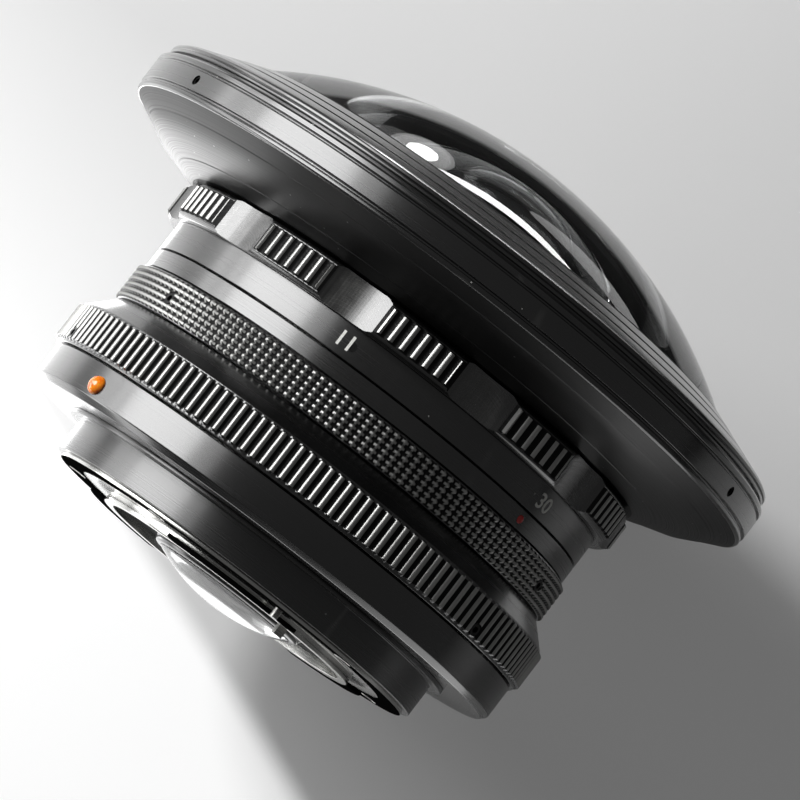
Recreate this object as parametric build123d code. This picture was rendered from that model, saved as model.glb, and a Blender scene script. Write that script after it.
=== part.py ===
from build123d import *
from math import copysign, cos, degrees, radians, sin, sqrt
import os

os.makedirs("parts", exist_ok=True)

# Fisheye lens, built in its own frame: the optical axis is Z, the front glass looks along +Z,
# stations are distances in front of the bayonet seat, and +Y is the side that carries the scales' view.
# Every piece is turned into the row's frame when it is written: front toward -Y, scales' side up.

# Clearances shared by every fit
running_gap = 0.06
slide_gap = 0.05
parting_gap = 0.3
cut_over = 1.0

# Bayonet and rear of the mount
seat_step = 1.0
plate_thickness = 0.7
seat_width = 4.1
seat_relief = 0.2
throat_radius = 20.5
throat_wall = 1.6
claw_reach = 2.6
claw_slot = 0.6
claw_thickness = 0.6
claw_count = 3
claw_span_angle = 55.0
claw_first_angle = 90.0
bayonet_screw_count = 5
bayonet_screw_inset = 2.5
bayonet_screw_radius = 0.8
bayonet_screw_head_radius = 1.45
bayonet_screw_head_height = 0.65
bayonet_screw_length = 6.0
bayonet_screw_first_angle = 60.0
screw_sink = 0.05
driver_slot_width = 0.35
driver_slot_depth = 0.25
stop_pin_radius = 0.65
stop_pin_offset = 1.25
stop_pin_angle = 107.0
stop_pin_reach = 1.4
stop_pin_depth = 2.2
lock_slot_inset = 2.6
lock_slot_angle = 34.0
lock_slot_width = 2.2
lock_slot_length = 3.4

# Adapter behind the locking collar
barrel_wall = 2.0
barrel_floor = 2.5
barrel_front = 6.6
step_height = 1.8
step_width = 0.7
tube_bore = 27.0
tube_wall = 3.0
adapter_depth = 11.3
adapter_front = 12.5
adapter_floor = 1.9
adapter_wall = 2.2
adapter_chamfer = 0.9
bead_radius = 1.45
bead_height = 1.15
bead_sink = 0.8
bead_station = 9.4
bead_angle = 39.0
baffle_rear = 0.15
baffle_thickness = 0.9
baffle_opening = 15.6
tab_width = 1.6
tab_height = 2.7
tab_circle = 18.0
tab_angle = 122.0
tab_thickness = 0.8

# Locking collar with straight ribs
collar_rear = 12.8
collar_rib_front = 19.4
collar_front = 22.8
collar_depth = 11.75
collar_rib_height = 0.6
collar_neck_drop = 3.25
collar_wall = 2.6
collar_web = 2.4
collar_rib_count = 156
rib_crest_share = 0.30
rib_foot_share = 0.42
rib_inset = 0.5
set_screw_radius = 0.95
set_screw_length = 2.2
set_screw_recess = 0.25
set_screw_socket = 0.5
set_screw_socket_depth = 0.6
set_screw_count = 3
collar_screw_angle = 138.0
collar_screw_station = 14.4

# Aperture ring with the checkered grip
aperture_rear = 23.1
aperture_front = 29.1
aperture_depth = 8.9
aperture_wall = 3.0
aperture_web = 2.6
aperture_hub_station = 23.9
aperture_hub_depth = 4.2
checker_groove_count = 5
checker_groove_width = 0.3
checker_groove_depth = 0.35
aperture_screw_angle = 35.0
aperture_screw_station = 25.9
aperture_turn_angle = 48.0
click_count = 7
click_circle_depth = 3.6
click_ball_radius = 0.8
click_track_depth = 0.45
click_track_width = 1.5
click_dimple_radius = 0.95
click_pocket_depth = 1.9
click_coil_radius = 0.45
click_wire_radius = 0.11
click_coil_turns = 2
click_angle = 225.0

# Fixed index ring
index_front = 32.2
index_depth = 8.1
index_wall = 2.8
index_web = 2.4
index_dot_radius = 0.62
index_dot_depth = 0.7
index_dot_proud = 0.06
index_dot_angle = 135.0
index_dot_station = 30.8

# Focusing ring, distance ring and helicoid nut
distance_front = 37.2
distance_thickness = 1.5
focus_front = 43.1
focus_core_drop = 0.3
focus_dale_height = 0.8
focus_hill_height = 1.25
focus_rib_height = 0.5
focus_rim_width = 0.5
focus_hub_wall = 1.8
focus_skirt_wall = 2.4
focus_web_rear = 38.0
focus_block_count = 11
focus_ribs_in_block = 7
focus_rib_pitch_angle = 2.9
focus_first_block_angle = 91.2
focus_travel = 1.0
tube_front = 40.0
retainer_width = 0.8
retainer_radius = 31.4
nut_thickness = 1.9
nut_radius = 32.6
distance_screw_station = 34.6
distance_screw_angle = 200.0
distance_screw_radius = 0.7
key_width = 2.0
key_height = 2.4
key_length = 6.0
key_station = 34.0
key_depth_in_barrel = 1.1
key_angle = 270.0
key_screw_radius = 0.6
key_screw_spacing = 3.4

# Front cone and flange
cone_rear = 43.5
cone_rear_radius = 40.2
cone_middle_radius = 48.8
cone_middle_station = 46.3
cone_wall = 1.8
cone_edge_drop = 0.6
flange_rear = 49.3
flange_front = 55.2
flange_wall = 5.0
flange_groove_depth = 0.3
flange_rear_groove_station = 50.35
flange_rear_groove_width = 0.45
flange_front_groove_station = 53.9
flange_front_groove_width = 0.35
flange_seat_width = 4.2
flange_screw_angle = 31.0
flange_screw_station = 52.2
flange_screw_radius = 0.75
front_neck_wall = 1.8
front_neck_width = 0.6
front_ring_overhang = 1.0
front_ring_chamfer = 0.5
front_ring_top = 57.2
front_thread_step = 1.4
front_thread_length = 2.2

# Front glass
dome_radius = 71.6
dome_apex = 75.8
dome_clear_radius = 48.3
dome_ledge = 1.0
dome_rim_width = 1.9
dome_rim_rear = 52.0
dome_hollow_radius = 34.0
dome_middle_thickness = 4.0
dome_ring_gap = 0.2

# Optical barrel and its elements
barrel_bore = 24.6
barrel_rear = 18.0
barrel_top = 49.3
barrel_flange_station = 45.3
barrel_flange_thickness = 1.3
barrel_flange_radius = 38.0
cone_screw_inset = 4.0
cone_screw_count = 6
cone_screw_radius = 0.9
cone_screw_head_radius = 1.7
cone_screw_head_height = 0.9
cone_screw_reach = 0.8
second_radius = 32.0
second_apex = 58.0
second_hollow_radius = 15.0
second_middle_thickness = 2.5
second_clear_radius = 23.0
second_ledge = 1.0
second_rim_rear = 43.0
second_ring_top = 49.2
cell_rear = 27.0
cell_seat_radius = 13.2
cell_mouth_radius = 20.5
third_front_radius = 26.0
third_back_radius = 38.0
third_front_apex = 39.4
third_back_apex = 29.6
third_rim_radius = 15.0
third_seat_station = 32.2
third_rim_front = 34.6
third_ring_top = 36.2
third_ring_wall = 1.6

# Iris
iris_floor_rear = 20.6
iris_floor = 1.2
iris_opening = 9.0
iris_wall = 1.5
iris_wall_front = 26.2
blade_first_station = 22.0
blade_thickness = 0.15
blade_pitch = 0.3
blade_count = 6
blade_inner_radius = 9.15
blade_outer_radius = 16.6
blade_lug_radius = 21.1
blade_span_angle = 148.0
blade_start_angle = -4.0
blade_lug_angle = 28.0
blade_lug_lead_share = 0.2
blade_pivot_circle = 19.0
blade_pivot_radius = 0.5
blade_pin_circle = 20.5
blade_pin_lead_angle = 18.0
blade_pin_radius = 0.45
blade_turn_angle = 22.0
pin_fit_gap = 0.05
cam_rear = 24.1
cam_thickness = 1.2
cam_inner_radius = 16.3
cam_fit_gap = 0.08
cam_slot_steps = 8
cover_thickness = 0.8
cover_opening = 12.5
cover_lip_wall = 1.1
cover_lip_gap = 0.1
drive_pin_radius = 0.7
drive_pin_tip = 21.9
drive_pin_cover = 1.2
drive_pin_station = 25.2
drive_pin_angle = 250.0
window_margin = 0.35

# Rear barrel and rear elements
rear_tube_radius = 15.0
rear_tube_front = 18.0
rear_flange_thickness = 1.6
rear_taper_station = 2.2
rear_mouth_radius = 12.9
rear_mouth_station = -0.6
rear_bore = 11.4
rear_glass_radius = 28.7
rear_glass_apex = -3.9
rear_glass_front_radius = 60.0
rear_glass_front = 2.6
rear_glass_clear = 11.7
rear_seat_radius = 12.25
rear_ring_rear = -1.3
rear_ring_chamfer = 0.55
fourth_front_radius = 24.0
fourth_front_apex = 16.2
fourth_back_radius = 21.0
fourth_back_apex = 7.6
fourth_rim_rear = 10.3
fourth_rim_front = 13.2
rear_spacer_wall = 0.9
fourth_ring_front = 15.0


# Shared shapes

def at(radius, angle, station=0.0):
    """A point at this distance and angle from the optical axis."""
    return (radius * cos(radians(angle)), radius * sin(radians(angle)), station)


def turned(*corners):
    """A ring turned about the optical axis from corners given as radius and station."""
    outline = Polyline(*[(radius, 0, station) for radius, station in corners], close=True)
    return revolve(make_face(outline), Axis.Z)


def band(inner_radius, outer_radius, rear, front):
    """A plain turned ring."""
    return turned((inner_radius, rear), (outer_radius, rear), (outer_radius, front), (inner_radius, front))


def rod(radius, start, end):
    """A round rod between two points."""
    line = Vector(*end) - Vector(*start)
    place = Plane(origin=start, z_dir=line)
    return place * Cylinder(radius, line.length, align=(Align.CENTER, Align.CENTER, Align.MIN))


def radial_rod(radius, inner, outer, angle, station):
    """A round rod that points straight out from the axis."""
    return rod(radius, at(inner, angle, station), at(outer, angle, station))


def axial_rod(radius, circle, angle, rear, front):
    """A round rod parallel to the axis."""
    return rod(radius, at(circle, angle, rear), at(circle, angle, front))


def around(count, first_angle):
    """Equally spaced angles round the axis."""
    return [first_angle + turn * 360 / count for turn in range(count)]


def sector(inner_radius, outer_radius, start_angle, end_angle):
    """A flat piece of a ring between two angles."""
    middle = (start_angle + end_angle) / 2
    outer = ThreePointArc(at(outer_radius, start_angle), at(outer_radius, middle), at(outer_radius, end_angle))
    inner = ThreePointArc(at(inner_radius, end_angle), at(inner_radius, middle), at(inner_radius, start_angle))
    leave = Line(at(outer_radius, end_angle), at(inner_radius, end_angle))
    arrive = Line(at(inner_radius, start_angle), at(outer_radius, start_angle))
    return make_face([outer, leave, inner, arrive])


def raised(face, rear, front):
    """A flat outline made solid between two stations."""
    return Pos(0, 0, rear) * extrude(face, front - rear)


def window(inner_radius, outer_radius, start_angle, end_angle, rear, front):
    """The room cut through a wall so that a pin can travel round it."""
    return raised(sector(inner_radius, outer_radius, start_angle, end_angle), rear, front)


def surface(radius, apex, distance):
    """Station of a ground surface at a distance from the axis; a positive radius bulges forward."""
    return apex - radius + copysign(sqrt(radius ** 2 - distance ** 2), radius)


def surface_arc(radius, apex, distance):
    """Half section of a ground surface, from the axis outward."""
    half = distance / 2
    start = (0, 0, apex)
    middle = (half, 0, surface(radius, apex, half))
    end = (distance, 0, surface(radius, apex, distance))
    return ThreePointArc(start, middle, end)


def ground_glass(front_radius, front_apex, front_clear, back_radius, back_apex, back_clear, *rim):
    """A lens element: two ground surfaces joined by the corners of its rim."""
    front = surface_arc(front_radius, front_apex, front_clear)
    back = surface_arc(back_radius, back_apex, back_clear)
    corners = [front @ 1]
    corners += [(radius, 0, station) for radius, station in rim]
    corners += [back @ 1]
    edge = Polyline(*corners)
    axis_line = Line(back @ 0, front @ 0)
    return revolve(make_face([front, edge, back, axis_line]), Axis.Z)


def set_screw_at(surface_radius, angle, station):
    """A headless screw sunk a little below the ring's surface, with its drive socket."""
    top = surface_radius - set_screw_recess
    body = radial_rod(set_screw_radius, top - set_screw_length, top, angle, station)
    socket = radial_rod(set_screw_socket, top - set_screw_socket_depth, top + cut_over, angle, station)
    return body - socket


def set_screw_hole(surface_radius, angle, station):
    """The hole that a headless screw fills."""
    floor = surface_radius - set_screw_recess - set_screw_length
    return radial_rod(set_screw_radius, floor, surface_radius + cut_over, angle, station)


def group(solids):
    """Like pieces kept as separate solids in one node."""
    return Compound([solid for piece in solids for solid in piece.solids()])


def keep(name, shape):
    """Turns a piece into the row's frame and writes it."""
    export_step(Rot(90, 0, 0) * shape, f"parts/{name}.step")


# Stations and radii that follow from the sizes above

tube_radius = tube_bore + tube_wall
barrel_radius = tube_radius + barrel_wall
step_radius = barrel_radius + step_height
seat_radius = barrel_radius - seat_step
seat_inner_radius = seat_radius - seat_width
bayonet_screw_circle = seat_radius - bayonet_screw_inset
lock_slot_circle = seat_radius - lock_slot_inset
claw_outer_radius = throat_radius + throat_wall + claw_reach
stop_pin_circle = claw_outer_radius + stop_pin_offset
cone_screw_circle = barrel_flange_radius - cone_screw_inset
ring_bore = tube_radius + running_gap
adapter_radius = tube_radius + adapter_depth
collar_root_radius = tube_radius + collar_depth
collar_top_radius = collar_root_radius + collar_rib_height
collar_neck_radius = collar_root_radius - collar_neck_drop
aperture_radius = tube_radius + aperture_depth
aperture_hub_radius = tube_radius + aperture_hub_depth
drive_pin_top = aperture_hub_radius - drive_pin_cover
click_circle = tube_radius + click_circle_depth
index_radius = tube_radius + index_depth
focus_core_radius = index_radius - focus_core_drop
focus_dale_radius = index_radius + focus_dale_height
focus_root_radius = focus_dale_radius + focus_hill_height
focus_top_radius = focus_root_radius + focus_rib_height
dome_rim_radius = dome_clear_radius + dome_rim_width
flange_seat_radius = dome_rim_radius - flange_seat_width
flange_radius = dome_rim_radius + flange_wall
front_thread_radius = dome_rim_radius + front_thread_step
front_neck_radius = front_thread_radius + front_neck_wall
front_ring_radius = front_neck_radius + front_ring_overhang
optical_radius = tube_bore - slide_gap
index_rear = aperture_front + parting_gap
distance_rear = index_front + parting_gap
dome_ledge_station = surface(dome_radius, dome_apex, dome_clear_radius) - dome_ledge
dome_hollow_apex = dome_apex - dome_middle_thickness
dome_mouth = sqrt(dome_hollow_radius ** 2 - (dome_rim_rear - dome_hollow_apex + dome_hollow_radius) ** 2)
second_ledge_station = surface(second_radius, second_apex, second_clear_radius) - second_ledge
second_hollow_apex = second_apex - second_middle_thickness
second_mouth = sqrt(second_hollow_radius ** 2 - (second_rim_rear - second_hollow_apex + second_hollow_radius) ** 2)
cam_radius = barrel_bore - iris_wall - cam_fit_gap
cam_front = cam_rear + cam_thickness


# Mount adapter

def bayonet_screw_solid(angle):
    """A countersunk screw whose head lies just under the seat."""
    reach = axial_rod(bayonet_screw_radius, bayonet_screw_circle, angle, screw_sink, bayonet_screw_length)
    head = Pos(*at(bayonet_screw_circle, angle, screw_sink)) * bayonet_head()
    slot = Rot(0, 0, angle) * Pos(bayonet_screw_circle, 0, screw_sink)
    slot = slot * Box(bayonet_screw_head_radius * 2, driver_slot_width, driver_slot_depth * 2)
    return reach + head - slot


def bayonet_head():
    """The cone of a countersunk head, wide end toward the rear."""
    lift = Pos(0, 0, bayonet_screw_head_height / 2)
    return lift * Cone(bayonet_screw_head_radius, bayonet_screw_radius, bayonet_screw_head_height)


def bayonet_screw_room(angle):
    """The hole that a bayonet screw fills, open at the seat."""
    bore = axial_rod(bayonet_screw_radius, bayonet_screw_circle, angle, -cut_over, bayonet_screw_length)
    mouth = axial_rod(bayonet_screw_head_radius, bayonet_screw_circle, angle, -cut_over, screw_sink)
    return bore + mouth + Pos(*at(bayonet_screw_circle, angle, screw_sink)) * bayonet_head()


def bayonet_plate():
    """The chromed plate with its seat, its throat and three claws."""
    claw_front = -claw_slot
    claw_rear = claw_front - claw_thickness
    throat_outer = throat_radius + throat_wall
    plate = turned(
        (throat_radius, seat_relief), (seat_inner_radius, seat_relief), (seat_inner_radius, 0),
        (seat_radius, 0), (seat_radius, plate_thickness), (throat_radius, plate_thickness))
    plate += band(throat_radius, throat_outer, claw_rear, seat_relief)
    for angle in around(claw_count, claw_first_angle):
        start = angle - claw_span_angle / 2
        end = angle + claw_span_angle / 2
        plate += window(throat_outer, claw_outer_radius, start, end, claw_rear, claw_front)
    for angle in around(bayonet_screw_count, bayonet_screw_first_angle):
        plate -= bayonet_screw_room(angle)
    plate -= axial_rod(stop_pin_radius, stop_pin_circle, stop_pin_angle, -cut_over, plate_thickness + cut_over)
    slot = SlotOverall(lock_slot_length, lock_slot_width)
    slot = Rot(0, 0, lock_slot_angle) * Pos(lock_slot_circle, 0, 0) * Rot(0, 0, 90) * slot
    return plate - raised(slot, -cut_over, plate_thickness + cut_over)


def bayonet_screws():
    """The screws that hold the plate, the adapter barrel and the main tube together."""
    return group(bayonet_screw_solid(angle) for angle in around(bayonet_screw_count, bayonet_screw_first_angle))


def claw_stop_pin():
    """The pin that ends the turn of the lens in the camera's mount."""
    return axial_rod(stop_pin_radius, stop_pin_circle, stop_pin_angle, -stop_pin_reach, stop_pin_depth)


def mount_barrel():
    """The black barrel behind the adapter ring, with its floor and step."""
    floor_front = plate_thickness + barrel_floor
    barrel = turned(
        (throat_radius, plate_thickness), (barrel_radius, plate_thickness),
        (barrel_radius, barrel_front - step_width), (step_radius, barrel_front - step_width),
        (step_radius, barrel_front), (tube_radius, barrel_front),
        (tube_radius, floor_front), (throat_radius, floor_front))
    for angle in around(bayonet_screw_count, bayonet_screw_first_angle):
        barrel -= bayonet_screw_room(angle)
    return barrel - axial_rod(stop_pin_radius, stop_pin_circle, stop_pin_angle, 0, stop_pin_depth)


def bead_place():
    """Centre of the bead's flat foot, on the adapter ring."""
    return Plane(origin=at(adapter_radius - bead_sink, bead_angle, bead_station), z_dir=at(adapter_radius, bead_angle))


def mount_index_bead():
    """The raised bead that is felt and seen when the lens is put on: a short stem and a round cap."""
    stem = Cylinder(bead_radius, bead_sink, align=(Align.CENTER, Align.CENTER, Align.MIN))
    cap_radius = (bead_radius ** 2 + bead_height ** 2) / (2 * bead_height)
    ball = Pos(0, 0, bead_sink + bead_height - cap_radius) * Sphere(cap_radius)
    cap = ball & Pos(0, 0, bead_sink) * Cylinder(
        bead_radius, bead_height, align=(Align.CENTER, Align.CENTER, Align.MIN))
    return bead_place() * (stem + cap)


def adapter_ring():
    """The smooth ring that carries the bead, hollow behind the collar."""
    floor_front = barrel_front + adapter_floor
    ring = turned(
        (tube_radius, barrel_front), (adapter_radius - adapter_chamfer, barrel_front),
        (adapter_radius, barrel_front + adapter_chamfer), (adapter_radius, adapter_front),
        (adapter_radius - adapter_wall, adapter_front), (adapter_radius - adapter_wall, floor_front),
        (tube_radius, floor_front))
    stem = Cylinder(bead_radius, cut_over + bead_sink, align=(Align.CENTER, Align.CENTER, Align.MIN))
    return ring - bead_place() * stem


def rear_baffle():
    """The black ring that keeps stray light out between the throat and the rear glass."""
    return band(baffle_opening, throat_radius, baffle_rear, baffle_rear + baffle_thickness)


def coupling_tab():
    """The small fixed tab on the baffle that tells the camera the widest stop."""
    place = Rot(0, 0, tab_angle) * Pos(tab_circle, 0, baffle_rear)
    return place * Box(tab_thickness, tab_width, tab_height, align=(Align.CENTER, Align.CENTER, Align.MAX))


def drive_window(inner_radius, outer_radius, rear, front):
    """The room that the aperture drive pin sweeps through a wall."""
    margin = degrees((drive_pin_radius + window_margin) / inner_radius)
    start = drive_pin_angle - margin
    end = drive_pin_angle + aperture_turn_angle + margin
    return window(inner_radius - cut_over / 2, outer_radius + cut_over / 2, start, end, rear, front)


def key_place():
    """The frame of the focusing key: X runs out from the axis."""
    return Rot(0, 0, key_angle) * Pos(optical_radius - key_depth_in_barrel + slide_gap, 0, key_station)


def main_tube():
    """The fixed tube on which every ring turns and in which the optical unit slides."""
    tube = band(tube_bore, tube_radius, plate_thickness + barrel_floor, tube_front)
    rear = drive_pin_station - drive_pin_radius - window_margin
    front = drive_pin_station + drive_pin_radius + window_margin
    tube -= drive_window(tube_bore, tube_radius, rear, front)
    for angle in around(bayonet_screw_count, bayonet_screw_first_angle):
        tube -= bayonet_screw_room(angle)
    tube -= key_place() * Box(key_height, key_width, key_length, align=(Align.MIN, Align.CENTER, Align.CENTER))
    for offset in (-key_screw_spacing / 2, key_screw_spacing / 2):
        tube -= radial_rod(key_screw_radius, tube_bore, tube_radius + cut_over, key_angle, key_station + offset)
    return tube


def focus_key():
    """The key that lets the optical unit slide but not turn."""
    key = key_place() * Box(key_height, key_width, key_length, align=(Align.MIN, Align.CENTER, Align.CENTER))
    for offset in (-key_screw_spacing / 2, key_screw_spacing / 2):
        key -= radial_rod(key_screw_radius, tube_bore, tube_radius + cut_over, key_angle, key_station + offset)
    return key


def focus_key_screws():
    """Two flush screws through the tube into the key."""
    return group(
        radial_rod(key_screw_radius, tube_bore, tube_radius, key_angle, key_station + offset)
        for offset in (-key_screw_spacing / 2, key_screw_spacing / 2))


def focus_retainer():
    """The thin ring on the end of the main tube that keeps the focusing ring on."""
    return band(tube_bore, retainer_radius, tube_front, tube_front + retainer_width)


# Locking collar

def ribbed_outline(root_radius, top_radius, count):
    """Closed outline of straight ribs round a ring."""
    pitch = 360 / count
    corners = []
    for middle in around(count, 0):
        corners.append(at(root_radius, middle - pitch * rib_foot_share))
        corners.append(at(top_radius, middle - pitch * rib_crest_share))
        corners.append(at(top_radius, middle + pitch * rib_crest_share))
        corners.append(at(root_radius, middle + pitch * rib_foot_share))
    return make_face(Polyline(*corners, close=True))


def locking_collar():
    """The wide ribbed ring that draws the adapter onto the lens."""
    inner = collar_root_radius - collar_wall
    neck_inner = collar_neck_radius - collar_wall
    web_front = collar_rear + rib_inset + collar_web
    core = turned(
        (ring_bore, collar_rear + rib_inset), (inner, collar_rear + rib_inset), (inner, collar_rear),
        (collar_root_radius, collar_rear), (collar_root_radius, collar_rib_front),
        (collar_neck_radius, collar_front), (neck_inner, collar_front), (neck_inner, collar_rib_front),
        (inner, web_front), (ring_bore, web_front))
    ribs = ribbed_outline(collar_root_radius, collar_top_radius, collar_rib_count)
    ribs -= Circle(collar_root_radius - collar_wall / 2)
    core += raised(ribs, collar_rear + rib_inset, collar_rib_front)
    for angle in around(set_screw_count, collar_screw_angle):
        core -= set_screw_hole(collar_top_radius, angle, collar_screw_station)
    return core


def collar_set_screws():
    """The headless screws of the collar."""
    return group(
        set_screw_at(collar_top_radius, angle, collar_screw_station)
        for angle in around(set_screw_count, collar_screw_angle))


# Aperture ring

def aperture_ring():
    """The stop ring: a grooved grip on a web that turns on the main tube."""
    inner = aperture_radius - aperture_wall
    web_rear = aperture_front - aperture_web
    ring = turned(
        (ring_bore, aperture_hub_station), (aperture_hub_radius, aperture_hub_station),
        (aperture_hub_radius, web_rear), (inner, web_rear), (inner, aperture_rear),
        (aperture_radius, aperture_rear), (aperture_radius, aperture_front), (ring_bore, aperture_front))
    groove_pitch = (aperture_front - aperture_rear) / (checker_groove_count + 1)
    for groove in range(checker_groove_count):
        middle = aperture_rear + groove_pitch * (groove + 1)
        ring -= band(
            aperture_radius - checker_groove_depth, aperture_radius + cut_over,
            middle - checker_groove_width / 2, middle + checker_groove_width / 2)
    for angle in around(set_screw_count, aperture_screw_angle):
        ring -= set_screw_hole(aperture_radius, angle, aperture_screw_station)
    ring -= click_track()
    return ring - radial_rod(drive_pin_radius, ring_bore - cut_over, drive_pin_top, drive_pin_angle, drive_pin_station)


def click_track():
    """The ball's groove in the ring's front face, with one deeper dimple for each stop."""
    half = click_track_width / 2
    track = band(click_circle - half, click_circle + half, aperture_front - click_track_depth, index_rear)
    step = aperture_turn_angle / (click_count - 1)
    for stop in range(click_count):
        place = at(click_circle, click_angle - stop * step, aperture_front - click_track_depth / 2)
        track += Pos(*place) * Sphere(click_dimple_radius)
    return track


def aperture_set_screws():
    """The headless screws of the aperture ring."""
    return group(
        set_screw_at(aperture_radius, angle, aperture_screw_station)
        for angle in around(set_screw_count, aperture_screw_angle))


def aperture_drive_pin():
    """The pin that carries the ring's turn through the walls into the iris."""
    return radial_rod(drive_pin_radius, drive_pin_tip, drive_pin_top, drive_pin_angle, drive_pin_station)


# Index ring and click stop

def click_ball_station():
    """The ball stands clear of the track's floor by the running gap."""
    return aperture_front - click_track_depth + click_ball_radius + running_gap


def index_ring():
    """The fixed ring that carries the red dot."""
    inner = index_radius - index_wall
    ring = turned(
        (tube_radius, index_rear), (index_radius, index_rear), (index_radius, index_front),
        (inner, index_front), (inner, index_rear + index_web), (tube_radius, index_rear + index_web))
    ring -= radial_rod(
        index_dot_radius, index_radius - index_dot_depth, index_radius + cut_over,
        index_dot_angle, index_dot_station)
    pocket = axial_rod(
        click_ball_radius + pin_fit_gap, click_circle, click_angle, index_rear - cut_over,
        index_rear + click_pocket_depth)
    return ring - pocket


def index_dot():
    """The red dot, let into the index ring."""
    return radial_rod(
        index_dot_radius, index_radius - index_dot_depth, index_radius + index_dot_proud,
        index_dot_angle, index_dot_station)


def click_ball():
    """The ball of the click stop."""
    return Pos(*at(click_circle, click_angle, click_ball_station())) * Sphere(click_ball_radius)


def click_spring():
    """The short coil behind the ball."""
    start = click_ball_station() + click_ball_radius + click_wire_radius
    height = index_rear + click_pocket_depth - click_wire_radius - start
    path = Helix(pitch=height / click_coil_turns, height=height, radius=click_coil_radius)
    wire = sweep(Plane(origin=path @ 0, z_dir=path % 0) * Circle(click_wire_radius), path=path)
    return Pos(*at(click_circle, click_angle, start)) * wire


# Focusing ring

def scalloped_outline():
    """Closed outline of the ribbed hills and the smooth hollows between them."""
    pitch = 360 / focus_block_count
    foot = focus_rib_pitch_angle * rib_foot_share
    crest = focus_rib_pitch_angle * rib_crest_share
    edges = []
    for centre in around(focus_block_count, focus_first_block_angle):
        corners = []
        for rib in range(focus_ribs_in_block):
            middle = centre + (rib - (focus_ribs_in_block - 1) / 2) * focus_rib_pitch_angle
            corners.append(at(focus_root_radius, middle - foot))
            corners.append(at(focus_top_radius, middle - crest))
            corners.append(at(focus_top_radius, middle + crest))
            corners.append(at(focus_root_radius, middle + foot))
        edges.append(Polyline(*corners))
        reach = (focus_ribs_in_block - 1) / 2 * focus_rib_pitch_angle + foot
        hollow_end = at(focus_root_radius, centre + pitch - reach)
        edges.append(ThreePointArc(corners[-1], at(focus_dale_radius, centre + pitch / 2), hollow_end))
    return make_face(edges)


def focus_ring():
    """The scalloped ring with its hub on the main tube and its skirt under the distance ring."""
    skirt = index_radius - distance_thickness
    core = turned(
        (ring_bore, distance_rear), (ring_bore + focus_hub_wall, distance_rear),
        (ring_bore + focus_hub_wall, focus_web_rear), (skirt - focus_skirt_wall, focus_web_rear),
        (skirt - focus_skirt_wall, distance_rear), (skirt, distance_rear),
        (skirt, distance_front), (focus_core_radius, distance_front),
        (focus_core_radius, focus_front), (nut_radius, focus_front),
        (nut_radius, tube_front - parting_gap), (ring_bore, tube_front - parting_gap))
    grip = scalloped_outline() - Circle(focus_core_radius - focus_rim_width)
    core += raised(grip, distance_front + focus_rim_width, focus_front - focus_rim_width)
    core += band(focus_core_radius - focus_rim_width, focus_dale_radius, distance_front, focus_front)
    for angle in around(set_screw_count, distance_screw_angle):
        core -= distance_screw_solid(angle)
    return core


def helicoid_nut():
    """The brass nut that turns with the focusing ring and draws the optical unit out."""
    rear = tube_front + retainer_width + parting_gap / 2
    return band(optical_radius + running_gap, nut_radius, rear, rear + nut_thickness)


def distance_screw_solid(angle):
    """A flush screw through the distance ring into the skirt."""
    return radial_rod(
        distance_screw_radius, index_radius - distance_thickness - focus_skirt_wall / 2, index_radius,
        angle, distance_screw_station)


def distance_ring():
    """The ring that carries the distance figures."""
    ring = band(index_radius - distance_thickness, index_radius, distance_rear, distance_front)
    for angle in around(set_screw_count, distance_screw_angle):
        ring -= distance_screw_solid(angle)
    return ring


def distance_screws():
    """The screws of the distance ring."""
    return group(distance_screw_solid(angle) for angle in around(set_screw_count, distance_screw_angle))


# Front of the optical unit

def cone_screw(angle, clearance=0.0):
    """A pan-head screw from the barrel's flange into the cone."""
    head_rear = barrel_flange_station + barrel_flange_thickness
    shank = axial_rod(
        cone_screw_radius, cone_screw_circle, angle, barrel_flange_station - cone_screw_reach, head_rear)
    head = axial_rod(cone_screw_head_radius, cone_screw_circle, angle, head_rear, head_rear + cone_screw_head_height)
    return shank + head


def front_cone():
    """The black cone that spreads from the focusing ring to the flange."""
    cone = turned(
        (optical_radius, cone_rear), (cone_rear_radius, cone_rear),
        (cone_middle_radius, cone_middle_station), (flange_radius - cone_edge_drop, flange_rear),
        (flange_seat_radius, flange_rear), (flange_seat_radius, cone_middle_station + cone_wall),
        (barrel_flange_radius + cone_wall, barrel_flange_station), (optical_radius, barrel_flange_station))
    for angle in around(cone_screw_count, 0):
        cone -= cone_screw(angle)
    return cone


def cone_screws():
    """The screws between the optical barrel and the cone."""
    return group(cone_screw(angle) for angle in around(cone_screw_count, 0))


def front_flange():
    """The heavy rim that seats the dome, with its turned bands."""
    flange = turned(
        (flange_seat_radius, flange_rear), (flange_radius, flange_rear), (flange_radius, flange_front),
        (front_thread_radius, flange_front), (front_thread_radius, flange_front - front_thread_length),
        (dome_rim_radius, flange_front - front_thread_length), (dome_rim_radius, dome_rim_rear),
        (flange_seat_radius, dome_rim_rear))
    flange -= flange_groove(flange_rear_groove_station, flange_rear_groove_width)
    flange -= flange_groove(flange_front_groove_station, flange_front_groove_width)
    for angle in around(set_screw_count, flange_screw_angle):
        flange -= flange_screw_hole(angle)
    return flange


def flange_groove(station, width):
    """A turned groove round the flange."""
    return band(flange_radius - flange_groove_depth, flange_radius + cut_over, station - width / 2, station + width / 2)


def flange_screw_hole(angle):
    """The hole of a flange screw."""
    floor = flange_radius - set_screw_recess - set_screw_length
    return radial_rod(flange_screw_radius, floor, flange_radius + cut_over, angle, flange_screw_station)


def flange_screws():
    """The headless screws of the flange."""
    top = flange_radius - set_screw_recess
    return group(
        radial_rod(flange_screw_radius, top - set_screw_length, top, angle, flange_screw_station)
        - radial_rod(set_screw_socket, top - set_screw_socket_depth, top + cut_over, angle, flange_screw_station)
        for angle in around(set_screw_count, flange_screw_angle))


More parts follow.
